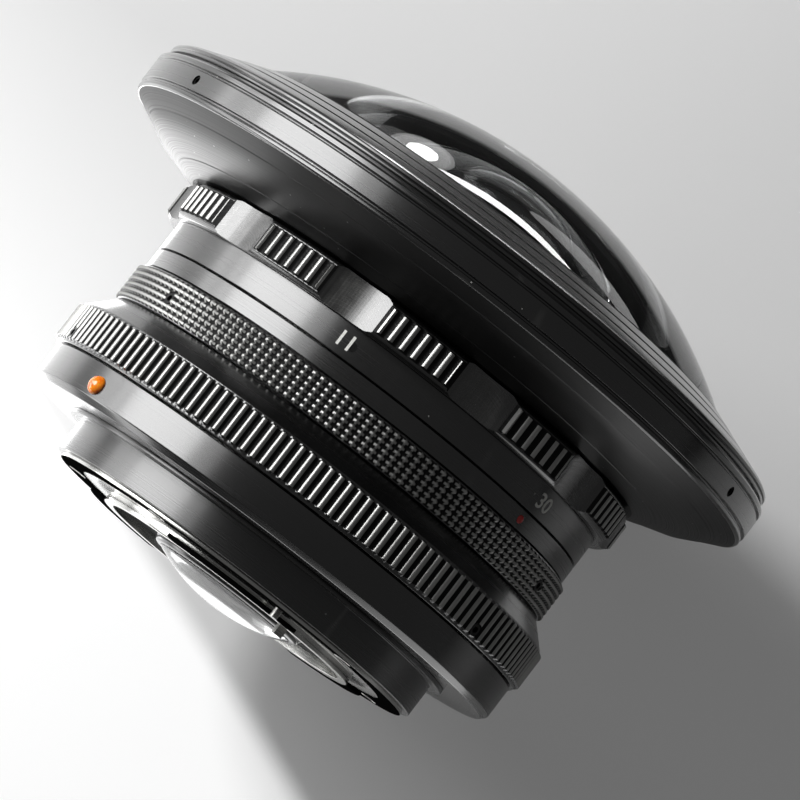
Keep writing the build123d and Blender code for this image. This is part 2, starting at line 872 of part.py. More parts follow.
def front_ring():
    """The thin front ring: its threaded skirt goes into the flange and its lip holds the dome."""
    lip = dome_clear_radius + dome_ring_gap
    return turned(
        (lip, dome_ledge_station), (front_thread_radius, dome_ledge_station),
        (front_thread_radius, flange_front), (front_neck_radius, flange_front),
        (front_neck_radius, flange_front + front_neck_width), (front_ring_radius, flange_front + front_neck_width),
        (front_ring_radius, front_ring_top - front_ring_chamfer),
        (front_ring_radius - front_ring_chamfer, front_ring_top), (lip, front_ring_top))


def front_dome():
    """The big front element: a deep meniscus with a ground ledge for the front ring."""
    return ground_glass(
        dome_radius, dome_apex, dome_clear_radius, dome_hollow_radius, dome_hollow_apex, dome_mouth,
        (dome_clear_radius, dome_ledge_station), (dome_rim_radius, dome_ledge_station),
        (dome_rim_radius, dome_rim_rear))


def optical_barrel():
    """The sliding barrel that holds the front elements and the iris."""
    flange_top = barrel_flange_station + barrel_flange_thickness
    barrel = turned(
        (barrel_bore, barrel_rear), (optical_radius, barrel_rear), (optical_radius, barrel_flange_station),
        (barrel_flange_radius, barrel_flange_station), (barrel_flange_radius, flange_top),
        (optical_radius, flange_top), (optical_radius, barrel_top), (barrel_bore, barrel_top))
    rear = drive_pin_station - drive_pin_radius - window_margin - focus_travel
    front = drive_pin_station + drive_pin_radius + window_margin
    barrel -= drive_window(barrel_bore, optical_radius, rear, front)
    slot_width = key_width + 2 * slide_gap
    slot_length = key_length + 2 * focus_travel + 2 * parting_gap
    slot = Box(key_height, slot_width, slot_length, align=(Align.MIN, Align.CENTER, Align.CENTER))
    barrel -= key_place() * Pos(-slide_gap, 0, 0) * slot
    for angle in around(cone_screw_count, 0):
        barrel -= cone_screw(angle)
    return barrel


def second_element():
    """The second meniscus, inside the dome's hollow."""
    return ground_glass(
        second_radius, second_apex, second_clear_radius, second_hollow_radius, second_hollow_apex, second_mouth,
        (second_clear_radius, second_ledge_station), (barrel_bore, second_ledge_station),
        (barrel_bore, second_rim_rear))


def second_ring():
    """The threaded ring that holds the second element."""
    return band(second_clear_radius + dome_ring_gap, barrel_bore, second_ledge_station, second_ring_top)


def middle_cell():
    """The cell between the iris and the second element, flared toward the front."""
    return turned(
        (cell_seat_radius, cell_rear), (barrel_bore, cell_rear), (barrel_bore, second_rim_rear),
        (cell_mouth_radius, second_rim_rear), (third_rim_radius, third_ring_top),
        (third_rim_radius, third_seat_station), (cell_seat_radius, third_seat_station))


def third_element():
    """The middle element, convex on both sides."""
    clear = third_rim_radius - third_ring_wall
    return ground_glass(
        third_front_radius, third_front_apex, clear, -third_back_radius, third_back_apex, cell_seat_radius - slide_gap,
        (third_rim_radius, surface(third_front_radius, third_front_apex, clear)),
        (third_rim_radius, third_seat_station), (cell_seat_radius - slide_gap, third_seat_station))


def third_ring():
    """The threaded ring that holds the middle element."""
    clear = third_rim_radius - third_ring_wall
    rear = surface(third_front_radius, third_front_apex, clear)
    return band(clear + slide_gap, third_rim_radius, rear, third_ring_top)


# Iris

def blade_angles():
    """Angle of each blade's pivot round the axis."""
    return around(blade_count, 0)


def pin_in_cam(turn_share):
    """Place of the first blade's drive pin, seen from the cam ring, at a share of the full turn."""
    pivot = Vector(*at(blade_pivot_circle, 0))
    arm = Vector(*at(blade_pin_circle, blade_pin_lead_angle)) - pivot
    place = pivot + arm.rotate(Axis.Z, blade_turn_angle * turn_share)
    return place.rotate(Axis.Z, -aperture_turn_angle * turn_share)


def cam_slot():
    """One slot of the cam ring: the exact path of a blade's pin, widened by the pin and its fit."""
    half = blade_pin_radius + pin_fit_gap
    path = [pin_in_cam(step / cam_slot_steps) for step in range(cam_slot_steps + 1)]
    ahead = path[1:] + [path[-1] * 2 - path[-2]]
    behind = [path[0] * 2 - path[1]] + path[:-1]
    across = [(b - a).normalized().rotate(Axis.Z, 90) * half for a, b in zip(behind, ahead)]
    one_side = [point + side for point, side in zip(path, across)]
    other_side = [point - side for point, side in zip(path, across)]
    end_cap = ThreePointArc(one_side[-1], path[-1] + (ahead[-1] - path[-1]).normalized() * half, other_side[-1])
    start_cap = ThreePointArc(other_side[0], path[0] + (behind[0] - path[0]).normalized() * half, one_side[0])
    return make_face([Spline(*one_side), end_cap, Spline(*reversed(other_side)), start_cap])


def iris_cam_ring():
    """The ring that swings all blades at once: six cam slots and one fork for the drive pin."""
    ring = band(cam_inner_radius, cam_radius, cam_rear, cam_front)
    for angle in blade_angles():
        ring -= raised(Rot(0, 0, angle) * cam_slot(), cam_rear - cut_over, cam_front + cut_over)
    fork_width = 2 * (drive_pin_radius + pin_fit_gap)
    fork = Box(2 * (cam_radius - drive_pin_tip + parting_gap), fork_width, cam_thickness + cut_over)
    return ring - Rot(0, 0, drive_pin_angle) * Pos(cam_radius, 0, (cam_rear + cam_front) / 2) * fork


def iris_housing():
    """The cup that holds the blades' pivots and guides the cam ring."""
    floor_front = iris_floor_rear + iris_floor
    inner = barrel_bore - iris_wall
    housing = turned(
        (iris_opening, iris_floor_rear), (barrel_bore, iris_floor_rear), (barrel_bore, iris_wall_front),
        (inner, iris_wall_front), (inner, floor_front), (iris_opening, floor_front))
    rear = drive_pin_station - drive_pin_radius - window_margin - focus_travel
    housing -= drive_window(inner, barrel_bore, rear, iris_wall_front + cut_over)
    for angle in blade_angles():
        housing -= axial_rod(
            blade_pivot_radius + pin_fit_gap, blade_pivot_circle, angle, iris_floor_rear - cut_over,
            floor_front + cut_over)
    return housing


def iris_cover():
    """The thin cover that keeps the cam ring and the blades in the cup."""
    lip_rear = cam_front + cover_lip_gap
    lip_outer = cam_inner_radius + cover_lip_wall
    return turned(
        (cover_opening, iris_wall_front), (cam_inner_radius, iris_wall_front), (cam_inner_radius, lip_rear),
        (lip_outer, lip_rear), (lip_outer, iris_wall_front), (barrel_bore, iris_wall_front),
        (barrel_bore, iris_wall_front + cover_thickness), (cover_opening, iris_wall_front + cover_thickness))


def iris_blade(layer, angle):
    """One thin blade in its own layer, with its pivot pin to the rear and its drive pin to the front."""
    station = blade_first_station + layer * blade_pitch
    lug_start = -blade_lug_angle * blade_lug_lead_share
    leaf = sector(blade_inner_radius, blade_outer_radius, blade_start_angle, blade_start_angle + blade_span_angle)
    leaf += sector(blade_outer_radius - blade_thickness, blade_lug_radius, lug_start, lug_start + blade_lug_angle)
    blade = raised(leaf, station, station + blade_thickness)
    blade += axial_rod(
        blade_pivot_radius, blade_pivot_circle, 0, iris_floor_rear + blade_thickness, station + blade_thickness)
    blade += axial_rod(
        blade_pin_radius, blade_pin_circle, blade_pin_lead_angle, station, cam_front - blade_thickness)
    return Rot(0, 0, angle) * blade


# Rear of the optical unit

def rear_barrel():
    """The long slim barrel that reaches back through the throat, counterbored for the rear glass."""
    flange_rear_station = rear_tube_front
    flange_top = flange_rear_station + rear_flange_thickness
    seat = rear_glass_front_edge()
    return turned(
        (rear_seat_radius, rear_mouth_station), (rear_mouth_radius, rear_mouth_station),
        (rear_tube_radius, rear_taper_station), (rear_tube_radius, flange_rear_station),
        (barrel_bore, flange_rear_station), (barrel_bore, flange_top),
        (rear_bore, flange_top), (rear_bore, seat), (rear_seat_radius, seat))


def iris_spacer():
    """The ring between the rear barrel's flange and the iris cup."""
    return band(rear_tube_radius, barrel_bore, rear_tube_front + rear_flange_thickness, iris_floor_rear)


def fourth_element():
    """The element behind the iris, convex on both sides."""
    clear = rear_bore - rear_spacer_wall
    return ground_glass(
        fourth_front_radius, fourth_front_apex, clear, -fourth_back_radius, fourth_back_apex, clear,
        (rear_bore, surface(fourth_front_radius, fourth_front_apex, clear)), (rear_bore, fourth_rim_rear),
        (clear, fourth_rim_rear))


def fourth_ring():
    """The threaded ring in front of the fourth element."""
    clear = rear_bore - rear_spacer_wall
    return band(clear, rear_bore, surface(fourth_front_radius, fourth_front_apex, clear), fourth_ring_front)


def rear_spacer():
    """The tube between the two rear elements."""
    front_face = rear_glass_front_edge()
    return band(rear_bore - rear_spacer_wall, rear_bore, front_face, fourth_rim_rear)


def rear_glass_front_edge():
    """Station of the flat rim at the front of the rear element."""
    return surface(rear_glass_front_radius, rear_glass_front, rear_bore - rear_spacer_wall)


def rear_element():
    """The rear glass that stands proud of the bayonet, with a shoulder ground round its back."""
    return ground_glass(
        rear_glass_front_radius, rear_glass_front, rear_bore - rear_spacer_wall,
        -rear_glass_radius, rear_glass_apex, rear_glass_clear,
        (rear_seat_radius, rear_glass_front_edge()), (rear_seat_radius, rear_mouth_station),
        (rear_glass_clear, rear_mouth_station))


def rear_ring():
    """The rounded ring bonded to the barrel's end, over the shoulder of the rear glass."""
    return turned(
        (rear_glass_clear + slide_gap, rear_ring_rear), (rear_mouth_radius - rear_ring_chamfer, rear_ring_rear),
        (rear_mouth_radius, rear_ring_rear + rear_ring_chamfer), (rear_mouth_radius, rear_mouth_station),
        (rear_glass_clear + slide_gap, rear_mouth_station))


# All pieces

keep("bayonet_plate", bayonet_plate())
keep("bayonet_screws", bayonet_screws())
keep("claw_stop_pin", claw_stop_pin())
keep("mount_barrel", mount_barrel())
keep("adapter_ring", adapter_ring())
keep("mount_index_bead", mount_index_bead())
keep("rear_baffle", rear_baffle())
keep("coupling_tab", coupling_tab())
keep("main_tube", main_tube())
keep("focus_key", focus_key())
keep("focus_key_screws", focus_key_screws())
keep("focus_retainer", focus_retainer())
keep("index_ring", index_ring())
keep("index_dot", index_dot())
keep("click_ball", click_ball())
keep("click_spring", click_spring())
keep("locking_collar", locking_collar())
keep("collar_set_screws", collar_set_screws())
keep("aperture_ring", aperture_ring())
keep("aperture_set_screws", aperture_set_screws())
keep("aperture_drive_pin", aperture_drive_pin())
keep("focus_ring", focus_ring())
keep("helicoid_nut", helicoid_nut())
keep("distance_ring", distance_ring())
keep("distance_screws", distance_screws())
keep("front_cone", front_cone())
keep("cone_screws", cone_screws())
keep("front_flange", front_flange())
keep("flange_screws", flange_screws())
keep("front_ring", front_ring())
keep("front_dome", front_dome())
keep("optical_barrel", optical_barrel())
keep("second_element", second_element())
keep("second_ring", second_ring())
keep("middle_cell", middle_cell())
keep("third_element", third_element())
keep("third_ring", third_ring())
keep("iris_housing", iris_housing())
keep("iris_cover", iris_cover())
keep("iris_cam_ring", iris_cam_ring())
for layer, angle in enumerate(blade_angles()):
    keep(f"iris_blade_{layer + 1}", iris_blade(layer, angle))
keep("rear_barrel", rear_barrel())
keep("iris_spacer", iris_spacer())
keep("fourth_element", fourth_element())
keep("fourth_ring", fourth_ring())
keep("rear_spacer", rear_spacer())
keep("rear_element", rear_element())
keep("rear_ring", rear_ring())
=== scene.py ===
import bpy
import bmesh
import math
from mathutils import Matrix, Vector


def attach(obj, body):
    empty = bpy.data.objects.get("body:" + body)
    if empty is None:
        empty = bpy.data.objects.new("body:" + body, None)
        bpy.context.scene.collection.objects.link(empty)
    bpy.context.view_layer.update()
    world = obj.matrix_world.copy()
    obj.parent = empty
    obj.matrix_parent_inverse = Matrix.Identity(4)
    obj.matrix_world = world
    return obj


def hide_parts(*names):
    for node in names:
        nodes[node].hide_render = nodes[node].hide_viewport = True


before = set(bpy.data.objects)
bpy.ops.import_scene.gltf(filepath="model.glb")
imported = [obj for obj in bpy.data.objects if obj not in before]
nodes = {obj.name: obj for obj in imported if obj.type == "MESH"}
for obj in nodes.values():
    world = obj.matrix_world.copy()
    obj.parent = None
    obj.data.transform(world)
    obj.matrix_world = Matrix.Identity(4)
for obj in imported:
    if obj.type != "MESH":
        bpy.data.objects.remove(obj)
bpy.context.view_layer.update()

# Chromed bayonet plate with its throat and claws: turned brass, plated with satin chromium, its outer
# seat ring left black. It is screwed to the barrel behind the locking collar. Sizes here and below are
# in millimetres; a station is the distance in front of the seat.
MM = 0.001
CHROME_HEX, SEAT_BLACK_HEX = "#C9C9C6", "#141414"
THROAT, THROAT_OUTER, CLAW_EDGE = 20.5, 22.1, 24.7
SEAT_INNER, SEAT_OUTER, PLATE_FRONT, SEAT_RELIEF = 26.9, 31.0, 0.7, 0.2
CLAW_FRONT, CLAW_REAR = -0.6, -1.2
CLAW_ANGLES, CLAW_HALF = (90, 210, 330), 27.5
PLATE_SCREW_CIRCLE, PLATE_SCREW_ANGLES = 28.5, (60, 132, 204, 276, 348)
RECESS_MOUTH, RECESS_BOTTOM, RECESS_DEPTH, RECESS_MIDDLE = 1.5, 0.7, 1.0, 0.45


def linear(hex_code):
    """A colour written as sRGB hex, as the linear values that shaders take."""
    values = [int(hex_code[place:place + 2], 16) / 255 for place in (1, 3, 5)]
    return [v / 12.92 if v <= 0.04045 else ((v + 0.055) / 1.055) ** 2.4 for v in values] + [1.0]


def add(tree, kind, links=None, sockets=None, **settings):
    """Adds one shader node with its settings, fixed socket values and incoming links."""
    made = tree.nodes.new("ShaderNode" + kind)
    for setting, value in settings.items():
        setattr(made, setting, value)
    for socket, value in (sockets or {}).items():
        made.inputs[socket].default_value = value
    for socket, output in (links or {}).items():
        tree.links.new(output, made.inputs[socket])
    return made


def fresh_material(name):
    """An empty node material that ends in one shader."""
    made = bpy.data.materials.new(name)
    made.use_nodes = True
    made.node_tree.nodes.clear()
    return made


def finished_metal(name, hex_code, roughness, metallic, mark_spacing, mark_depth, coat=0.0, specular=0.5,
                   speck_share=0.0, worn_hex=None, worn_share=0.0, mottle=0.12):
    """Metal work off the lathe: fine turning marks round the axis, a slightly uneven tone, handling wear on
    the edges and a few dust specks. The mark spacing and depth are real sizes in millimetres."""
    made = fresh_material(name)
    tree = made.node_tree
    place = add(tree, "TexCoord").outputs["Object"]
    parts = add(tree, "SeparateXYZ", {"Vector": place})
    across = add(tree, "CombineXYZ", {"X": parts.outputs["X"], "Z": parts.outputs["Z"]})
    radius = add(tree, "VectorMath", {0: across.outputs[0]}, operation="LENGTH").outputs["Value"]
    radius_part = add(tree, "Math", {0: radius}, {1: 1.37}, operation="MULTIPLY").outputs[0]
    along = add(tree, "Math", {0: radius_part, 1: parts.outputs["Y"]}, operation="SUBTRACT").outputs[0]
    # one noise cell stands for one turning mark
    marks = add(tree, "TexNoise", {"W": along},
                {"Scale": 1 / (mark_spacing * MM), "Detail": 2.0, "Roughness": 0.6}, noise_dimensions="1D")
    cloud = add(tree, "TexNoise", {"Vector": place}, {"Scale": 1 / (9.0 * MM), "Detail": 4.0})
    tone = add(tree, "MapRange", {"Value": cloud.outputs["Fac"]},
               {"From Min": 0.3, "From Max": 0.7, "To Min": 1 - mottle, "To Max": 1 + mottle}).outputs[0]
    shade = add(tree, "VectorMath", {1: tone}, {0: linear(hex_code)[:3]}, operation="MULTIPLY").outputs[0]
    if worn_hex:
        edge = add(tree, "NewGeometry").outputs["Pointiness"]
        rub = add(tree, "TexNoise", {"Vector": place}, {"Scale": 1 / (1.6 * MM), "Detail": 3.0})
        sharp = add(tree, "MapRange", {"Value": edge}, {"From Min": 0.53, "From Max": 0.6}).outputs[0]
        rubbed = add(tree, "Math", {0: sharp, 1: rub.outputs["Fac"]}, operation="MULTIPLY").outputs[0]
        rubbed = add(tree, "Math", {0: rubbed}, {1: worn_share}, operation="MULTIPLY").outputs[0]
        worn = add(tree, "Mix", {"Factor": rubbed, 6: shade}, {7: linear(worn_hex)}, data_type="RGBA")
        shade = worn.outputs[2]
    if speck_share:
        # dust: sparse bright specks of about 0.15 mm
        dust = add(tree, "TexVoronoi", {"Vector": place}, {"Scale": 1 / (1.1 * MM)}, feature="F1")
        lone = add(tree, "SeparateColor", {"Color": dust.outputs["Color"]}).outputs["Red"]
        rare = add(tree, "Math", {0: lone}, {1: speck_share}, operation="LESS_THAN").outputs[0]
        near = add(tree, "Math", {0: dust.outputs["Distance"]}, {1: 0.13}, operation="LESS_THAN").outputs[0]
        both = add(tree, "Math", {0: rare, 1: near}, operation="MULTIPLY").outputs[0]
        dusty = add(tree, "Mix", {"Factor": both, 6: shade}, {7: linear("#8A8A88")}, data_type="RGBA")
        shade = dusty.outputs[2]
    sheen = add(tree, "MapRange", {"Value": marks.outputs["Fac"]},
                {"From Min": 0.25, "From Max": 0.75, "To Min": roughness * 0.82, "To Max": roughness * 1.22})
    grain = add(tree, "TexNoise", {"Vector": place}, {"Scale": 1 / (0.22 * MM), "Detail": 2.0})
    fine = add(tree, "Bump", {"Height": grain.outputs["Fac"]}, {"Strength": 0.08, "Distance": 0.02 * MM})
    relief = add(tree, "Bump", {"Height": marks.outputs["Fac"], "Normal": fine.outputs[0]},
                 {"Strength": 0.6, "Distance": mark_depth * MM})
    shader = add(tree, "BsdfPrincipled",
                 {"Base Color": shade, "Roughness": sheen.outputs[0], "Normal": relief.outputs[0]},
                 {"Metallic": metallic, "Coat Weight": coat, "Coat Roughness": 0.16,
                  "Specular IOR Level": specular})
    add(tree, "OutputMaterial", {"Surface": shader.outputs[0]})
    return made


def turned(name, corners, segments):
    """A closed ring turned round the optical axis. Its section is given as corners of radius and station: a
    circle starts at the first corner and is drawn out to each next one, back to the start."""
    radius, station = corners[0]
    bpy.ops.object.select_all(action="DESELECT")
    bpy.ops.mesh.primitive_circle_add(
        vertices=segments, radius=radius * MM, location=(0, -station * MM, 0), rotation=(math.pi / 2, 0, 0))
    piece = bpy.context.object
    piece.name = piece.data.name = name
    bpy.ops.object.transform_apply(location=True, rotation=True, scale=True)
    bpy.ops.object.mode_set(mode="EDIT")
    bpy.ops.mesh.select_mode(type="VERT")
    bpy.ops.mesh.select_all(action="SELECT")
    for next_radius, next_station in corners[1:] + corners[:1]:
        drawn = (0, (station - next_station) * MM, 0)
        bpy.ops.mesh.extrude_region_move(TRANSFORM_OT_translate={"value": drawn})
        ratio = next_radius / radius
        bpy.ops.transform.resize(value=(ratio, 1, ratio), center_override=(0, -next_station * MM, 0))
        radius, station = next_radius, next_station
    bpy.ops.mesh.select_all(action="SELECT")
    bpy.ops.mesh.remove_doubles(threshold=0.0005 * MM)
    bpy.ops.mesh.normals_make_consistent(inside=False)
    bpy.ops.object.mode_set(mode="OBJECT")
    return piece


def on_ring(radius, angle, station):
    """The place at a radius from the axis, an angle in degrees and a station, in metres."""
    turn = math.radians(angle)
    return radius * MM * math.cos(turn), -station * MM, radius * MM * math.sin(turn)


def pick(piece, test):
    """In edit mode, selects the faces whose middle passes a test of radius, angle and station."""
    bpy.ops.mesh.select_mode(type="FACE")
    bpy.ops.mesh.select_all(action="DESELECT")
    work = bmesh.from_edit_mesh(piece.data)
    for face in work.faces:
        middle = face.calc_center_median()
        angle = math.degrees(math.atan2(middle.z, middle.x)) % 360
        if test(math.hypot(middle.x, middle.z) / MM, angle, -middle.y / MM):
            face.select_set(True)
    bmesh.update_edit_mesh(piece.data)


def lift(piece, radius, height, shares, share_at):
    """Draws the vertices of a turned face out from the axis, each by its share of a height."""
    activate(piece)
    bpy.ops.object.mode_set(mode="EDIT")
    bpy.ops.mesh.select_mode(type="VERT")
    work = bmesh.from_edit_mesh(piece.data)
    for share in set(shares) - {0.0}:
        bpy.ops.mesh.select_all(action="DESELECT")
        for vertex in work.verts:
            x, y, z = vertex.co
            angle = math.degrees(math.atan2(z, x)) % 360
            if abs(math.hypot(x, z) / MM - radius) < 0.02 and share_at(angle, -y / MM) == share:
                vertex.select_set(True)
        work.select_flush(True)
        bmesh.update_edit_mesh(piece.data)
        ratio = 1 + share * height / radius
        bpy.ops.transform.resize(value=(ratio, 1, ratio), center_override=(0, 0, 0))
    bpy.ops.object.mode_set(mode="OBJECT")


def activate(piece):
    """Makes one piece the only one selected."""
    bpy.ops.object.select_all(action="DESELECT")
    piece.select_set(True)
    bpy.context.view_layer.objects.active = piece


def soften(piece, width, segments=2, angle=32):
    """Breaks the sharp edges with a small bevel, as a deburring tool does."""
    activate(piece)
    edge = piece.modifiers.new("edge", "BEVEL")
    edge.width, edge.segments = width * MM, segments
    edge.limit_method, edge.angle_limit = "ANGLE", math.radians(angle)
    bpy.ops.object.modifier_apply(modifier=edge.name)


def settle(piece, angle=38):
    """Smooths a shaped piece up to an angle between its faces, and lets the broad faces rule, so that they
    stay flat in the light right up to their broken edges."""
    activate(piece)
    bpy.ops.object.shade_smooth_by_angle(angle=math.radians(angle))
    even = piece.modifiers.new("even", "WEIGHTED_NORMAL")
    even.keep_sharp = True
    bpy.ops.object.modifier_apply(modifier=even.name)


def drill(piece, radius, depth_from, depth_to, places, vertices=24):
    """Cuts radial holes from one radius to another at places given as angle and station."""
    bpy.ops.object.select_all(action="DESELECT")
    cutters = []
    for angle, station in places:
        bpy.ops.mesh.primitive_cylinder_add(
            vertices=vertices, radius=radius * MM, depth=abs(depth_to - depth_from) * MM,
            location=on_ring((depth_from + depth_to) / 2, angle, station),
            rotation=(0, math.pi / 2 - math.radians(angle), 0))
        cutters.append(bpy.context.object)
    cut_away(piece, cutters)


def cut_away(piece, cutters):
    """Takes the cutters' shapes out of a piece and removes the cutters."""
    activate(cutters[0])
    for cutter in cutters:
        cutter.select_set(True)
    if len(cutters) > 1:
        bpy.ops.object.join()
    tool = bpy.context.object
    activate(piece)
    cut = piece.modifiers.new("cut", "BOOLEAN")
    cut.operation, cut.solver, cut.object = "DIFFERENCE", "EXACT", tool
    bpy.ops.object.modifier_apply(modifier=cut.name)
    bpy.data.objects.remove(tool, do_unlink=True)


def paint(piece, *materials):
    """Gives a piece its materials."""
    piece.data.materials.clear()
    for material in materials:
        piece.data.materials.append(material)


def use_other(piece, test, place=1):
    """Puts another of the piece's materials on the faces that pass a test of radius and station."""
    for face in piece.data.polygons:
        x, y, z = face.center
        if test(math.hypot(x, z) / MM, -y / MM):
            face.material_index = place


def finish(piece, body, slot, *replaced):
    """Seats a finished piece on its body."""
    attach(piece, body)
    if replaced:
        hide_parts(*replaced)


chrome = finished_metal("satin_chromium_on_turned_brass", CHROME_HEX, 0.2, 1.0, 0.12, 0.004, mottle=0.05)
seat_black = finished_metal("blackened_bayonet_brass", SEAT_BLACK_HEX, 0.7, 0.0, 0.2, 0.003, specular=0.0)
plate = turned("bayonet_plate_turned", [
    (THROAT, SEAT_RELIEF), (THROAT, CLAW_REAR), (THROAT_OUTER, CLAW_REAR), (THROAT_OUTER, CLAW_FRONT),
    (THROAT_OUTER, SEAT_RELIEF), (SEAT_INNER, SEAT_RELIEF), (SEAT_INNER, 0), (SEAT_OUTER, 0),
    (SEAT_OUTER, PLATE_FRONT), (THROAT, PLATE_FRONT)], 288)
activate(plate)
bpy.ops.object.mode_set(mode="EDIT")
pick(plate, lambda radius, angle, station: abs(radius - THROAT_OUTER) < 0.2
     and CLAW_REAR < station < CLAW_FRONT
     and min(abs((angle - claw + 180) % 360 - 180) for claw in CLAW_ANGLES) < CLAW_HALF)
bpy.ops.mesh.extrude_region_move(TRANSFORM_OT_translate={"value": (0, 0, 0)})
claw_ratio = CLAW_EDGE / THROAT_OUTER
bpy.ops.transform.resize(value=(claw_ratio, 1, claw_ratio), center_override=(0, -CLAW_REAR * MM, 0))
bpy.ops.object.mode_set(mode="OBJECT")
soften(plate, 0.1)
recesses = []
for angle in PLATE_SCREW_ANGLES:
    bpy.ops.object.select_all(action="DESELECT")
    bpy.ops.mesh.primitive_cone_add(
        vertices=32, radius1=RECESS_MOUTH * MM, radius2=RECESS_BOTTOM * MM, depth=RECESS_DEPTH * MM,
        rotation=(math.pi / 2, 0, 0), location=on_ring(PLATE_SCREW_CIRCLE, angle, RECESS_MIDDLE))
    recesses.append(bpy.context.object)
cut_away(plate, recesses)
settle(plate)
paint(plate, chrome, seat_black)
use_other(plate, lambda radius, station: radius > 22.2 and station < 0.18 and radius < 30.95)
finish(plate, "mount", "chrome_mount", "bayonet_plate")

# Screws, pin and tab of the mount, and inside the lens the screws, the click ball with its spring and the
# drive pin: small turned steel parts, the mount's screws countersunk and slotted.
steel = finished_metal("turned_screw_steel", "#A5A5A2", 0.28, 1.0, 0.1, 0.004, mottle=0.08)
for name in ("bayonet_screws", "claw_stop_pin", "coupling_tab", "focus_key_screws", "click_ball",
             "click_spring", "aperture_drive_pin", "cone_screws"):
    paint(nodes[name], steel)

# Barrel, step and baffle behind the adapter ring: aluminium turned on a lathe and anodised black, which
# leaves a satin skin with the tool's fine lines still in it.
anodised = finished_metal("black_anodised_turned_aluminium", "#101010", 0.3, 0.0, 0.16, 0.006, coat=0.7,
                          specular=0.9, speck_share=0.012, worn_hex="#6E6E6C", worn_share=0.5)
dull_black = finished_metal("dead_black_inner_paint", "#060606", 0.78, 0.0, 0.3, 0.01, specular=0.25)
barrel = turned("mount_barrel_turned", [
    (THROAT, PLATE_FRONT), (32.0, PLATE_FRONT), (32.0, 5.9), (33.8, 5.9), (33.8, 6.6), (30.0, 6.6),
    (30.0, 3.2), (THROAT, 3.2)], 256)
soften(barrel, 0.12)
settle(barrel)
paint(barrel, anodised)
finish(barrel, "mount", "black_anodised", "mount_barrel")
baffle = turned("rear_baffle_turned", [
    (15.6, 0.15), (THROAT, 0.15), (THROAT, 1.05), (15.6, 1.05)], 192)
soften(baffle, 0.08)
settle(baffle)
paint(baffle, dull_black)
finish(baffle, "mount", "matt_black", "rear_baffle")
paint(nodes["main_tube"], anodised)

# Adapter ring with its bead: the ring is lacquered black, and the bead is a glossy orange plastic dome
# pressed into it, the mark that is felt when the lens is put on.
lacquer = finished_metal("black_lacquer_on_turned_aluminium", "#0B0B0B", 0.24, 0.0, 0.22, 0.005, coat=1.0,
                         specular=0.9, speck_share=0.02, worn_hex="#5A5A58", worn_share=0.35)
adapter = turned("adapter_ring_turned", [
    (30.0, 6.6), (40.4, 6.6), (41.3, 7.5), (41.3, 12.5), (39.1, 12.5), (39.1, 8.5), (30.0, 8.5)], 256)
soften(adapter, 0.15)
settle(adapter)
paint(adapter, lacquer)
finish(adapter, "mount", "black_lacquer", "adapter_ring")
BEAD_RADIUS, BEAD_HEIGHT, BEAD_ANGLE, BEAD_STATION, BEAD_SEAT, BEAD_SUNK = 1.5, 1.2, 39.0, 9.4, 41.2, 0.4
bead_turn = math.radians(BEAD_ANGLE)
bpy.ops.object.select_all(action="DESELECT")
bpy.ops.mesh.primitive_uv_sphere_add(
    segments=48, ring_count=32, radius=1.0, location=on_ring(BEAD_SEAT, BEAD_ANGLE, BEAD_STATION),
    rotation=(0, math.pi / 2 - bead_turn, 0))
bead = bpy.context.object
bead.name = bead.data.name = "mount_index_bead_domed"
bead.scale = (BEAD_RADIUS * MM, BEAD_RADIUS * MM, BEAD_HEIGHT * MM)
bpy.ops.object.transform_apply(location=True, rotation=True, scale=True)
bpy.ops.object.mode_set(mode="EDIT")
bpy.ops.mesh.select_all(action="SELECT")
outward = Vector((math.cos(bead_turn), 0, math.sin(bead_turn)))
bpy.ops.mesh.bisect(
    plane_co=outward * (BEAD_SEAT - BEAD_SUNK) * MM, plane_no=outward, clear_inner=True, use_fill=True)
bpy.ops.object.mode_set(mode="OBJECT")
bpy.ops.object.shade_smooth_by_angle(angle=math.radians(40))


def clouded(name, cell, detail, relief, dark_hex, light_hex, sockets, dark_stop=0.0, light_stop=1.0):
    """A paint or plastic whose colour drifts softly between two tones, over cells sized in millimetres."""
    made = fresh_material(name)
    tree = made.node_tree
    cloud = add(tree, "TexNoise", {"Vector": add(tree, "TexCoord").outputs["Object"]},
                {"Scale": 1 / (cell * MM), "Detail": detail})
    tone = add(tree, "ValToRGB", {"Fac": cloud.outputs["Fac"]})
    dark, light = tone.color_ramp.elements
    dark.position, dark.color = dark_stop, linear(dark_hex)
    light.position, light.color = light_stop, linear(light_hex)
    skin = add(tree, "Bump", {"Height": cloud.outputs["Fac"]}, {"Strength": relief, "Distance": 0.02 * MM})
    shader = add(tree, "BsdfPrincipled", {"Base Color": tone.outputs[0], "Normal": skin.outputs[0]}, sockets)
    add(tree, "OutputMaterial", {"Surface": shader.outputs[0]})
    return made


paint(bead, clouded("cast_orange_plastic", 0.9, 3.0, 0.1, "#D9610A", "#FF9A1E", {
    "Roughness": 0.12, "Coat Weight": 1.0, "Coat Roughness": 0.04, "Specular IOR Level": 0.6,
    "Subsurface Weight": 0.35, "Subsurface Scale": 0.6 * MM}, 0.3, 0.7))
finish(bead, "mount", "orange_enamel", "mount_index_bead")

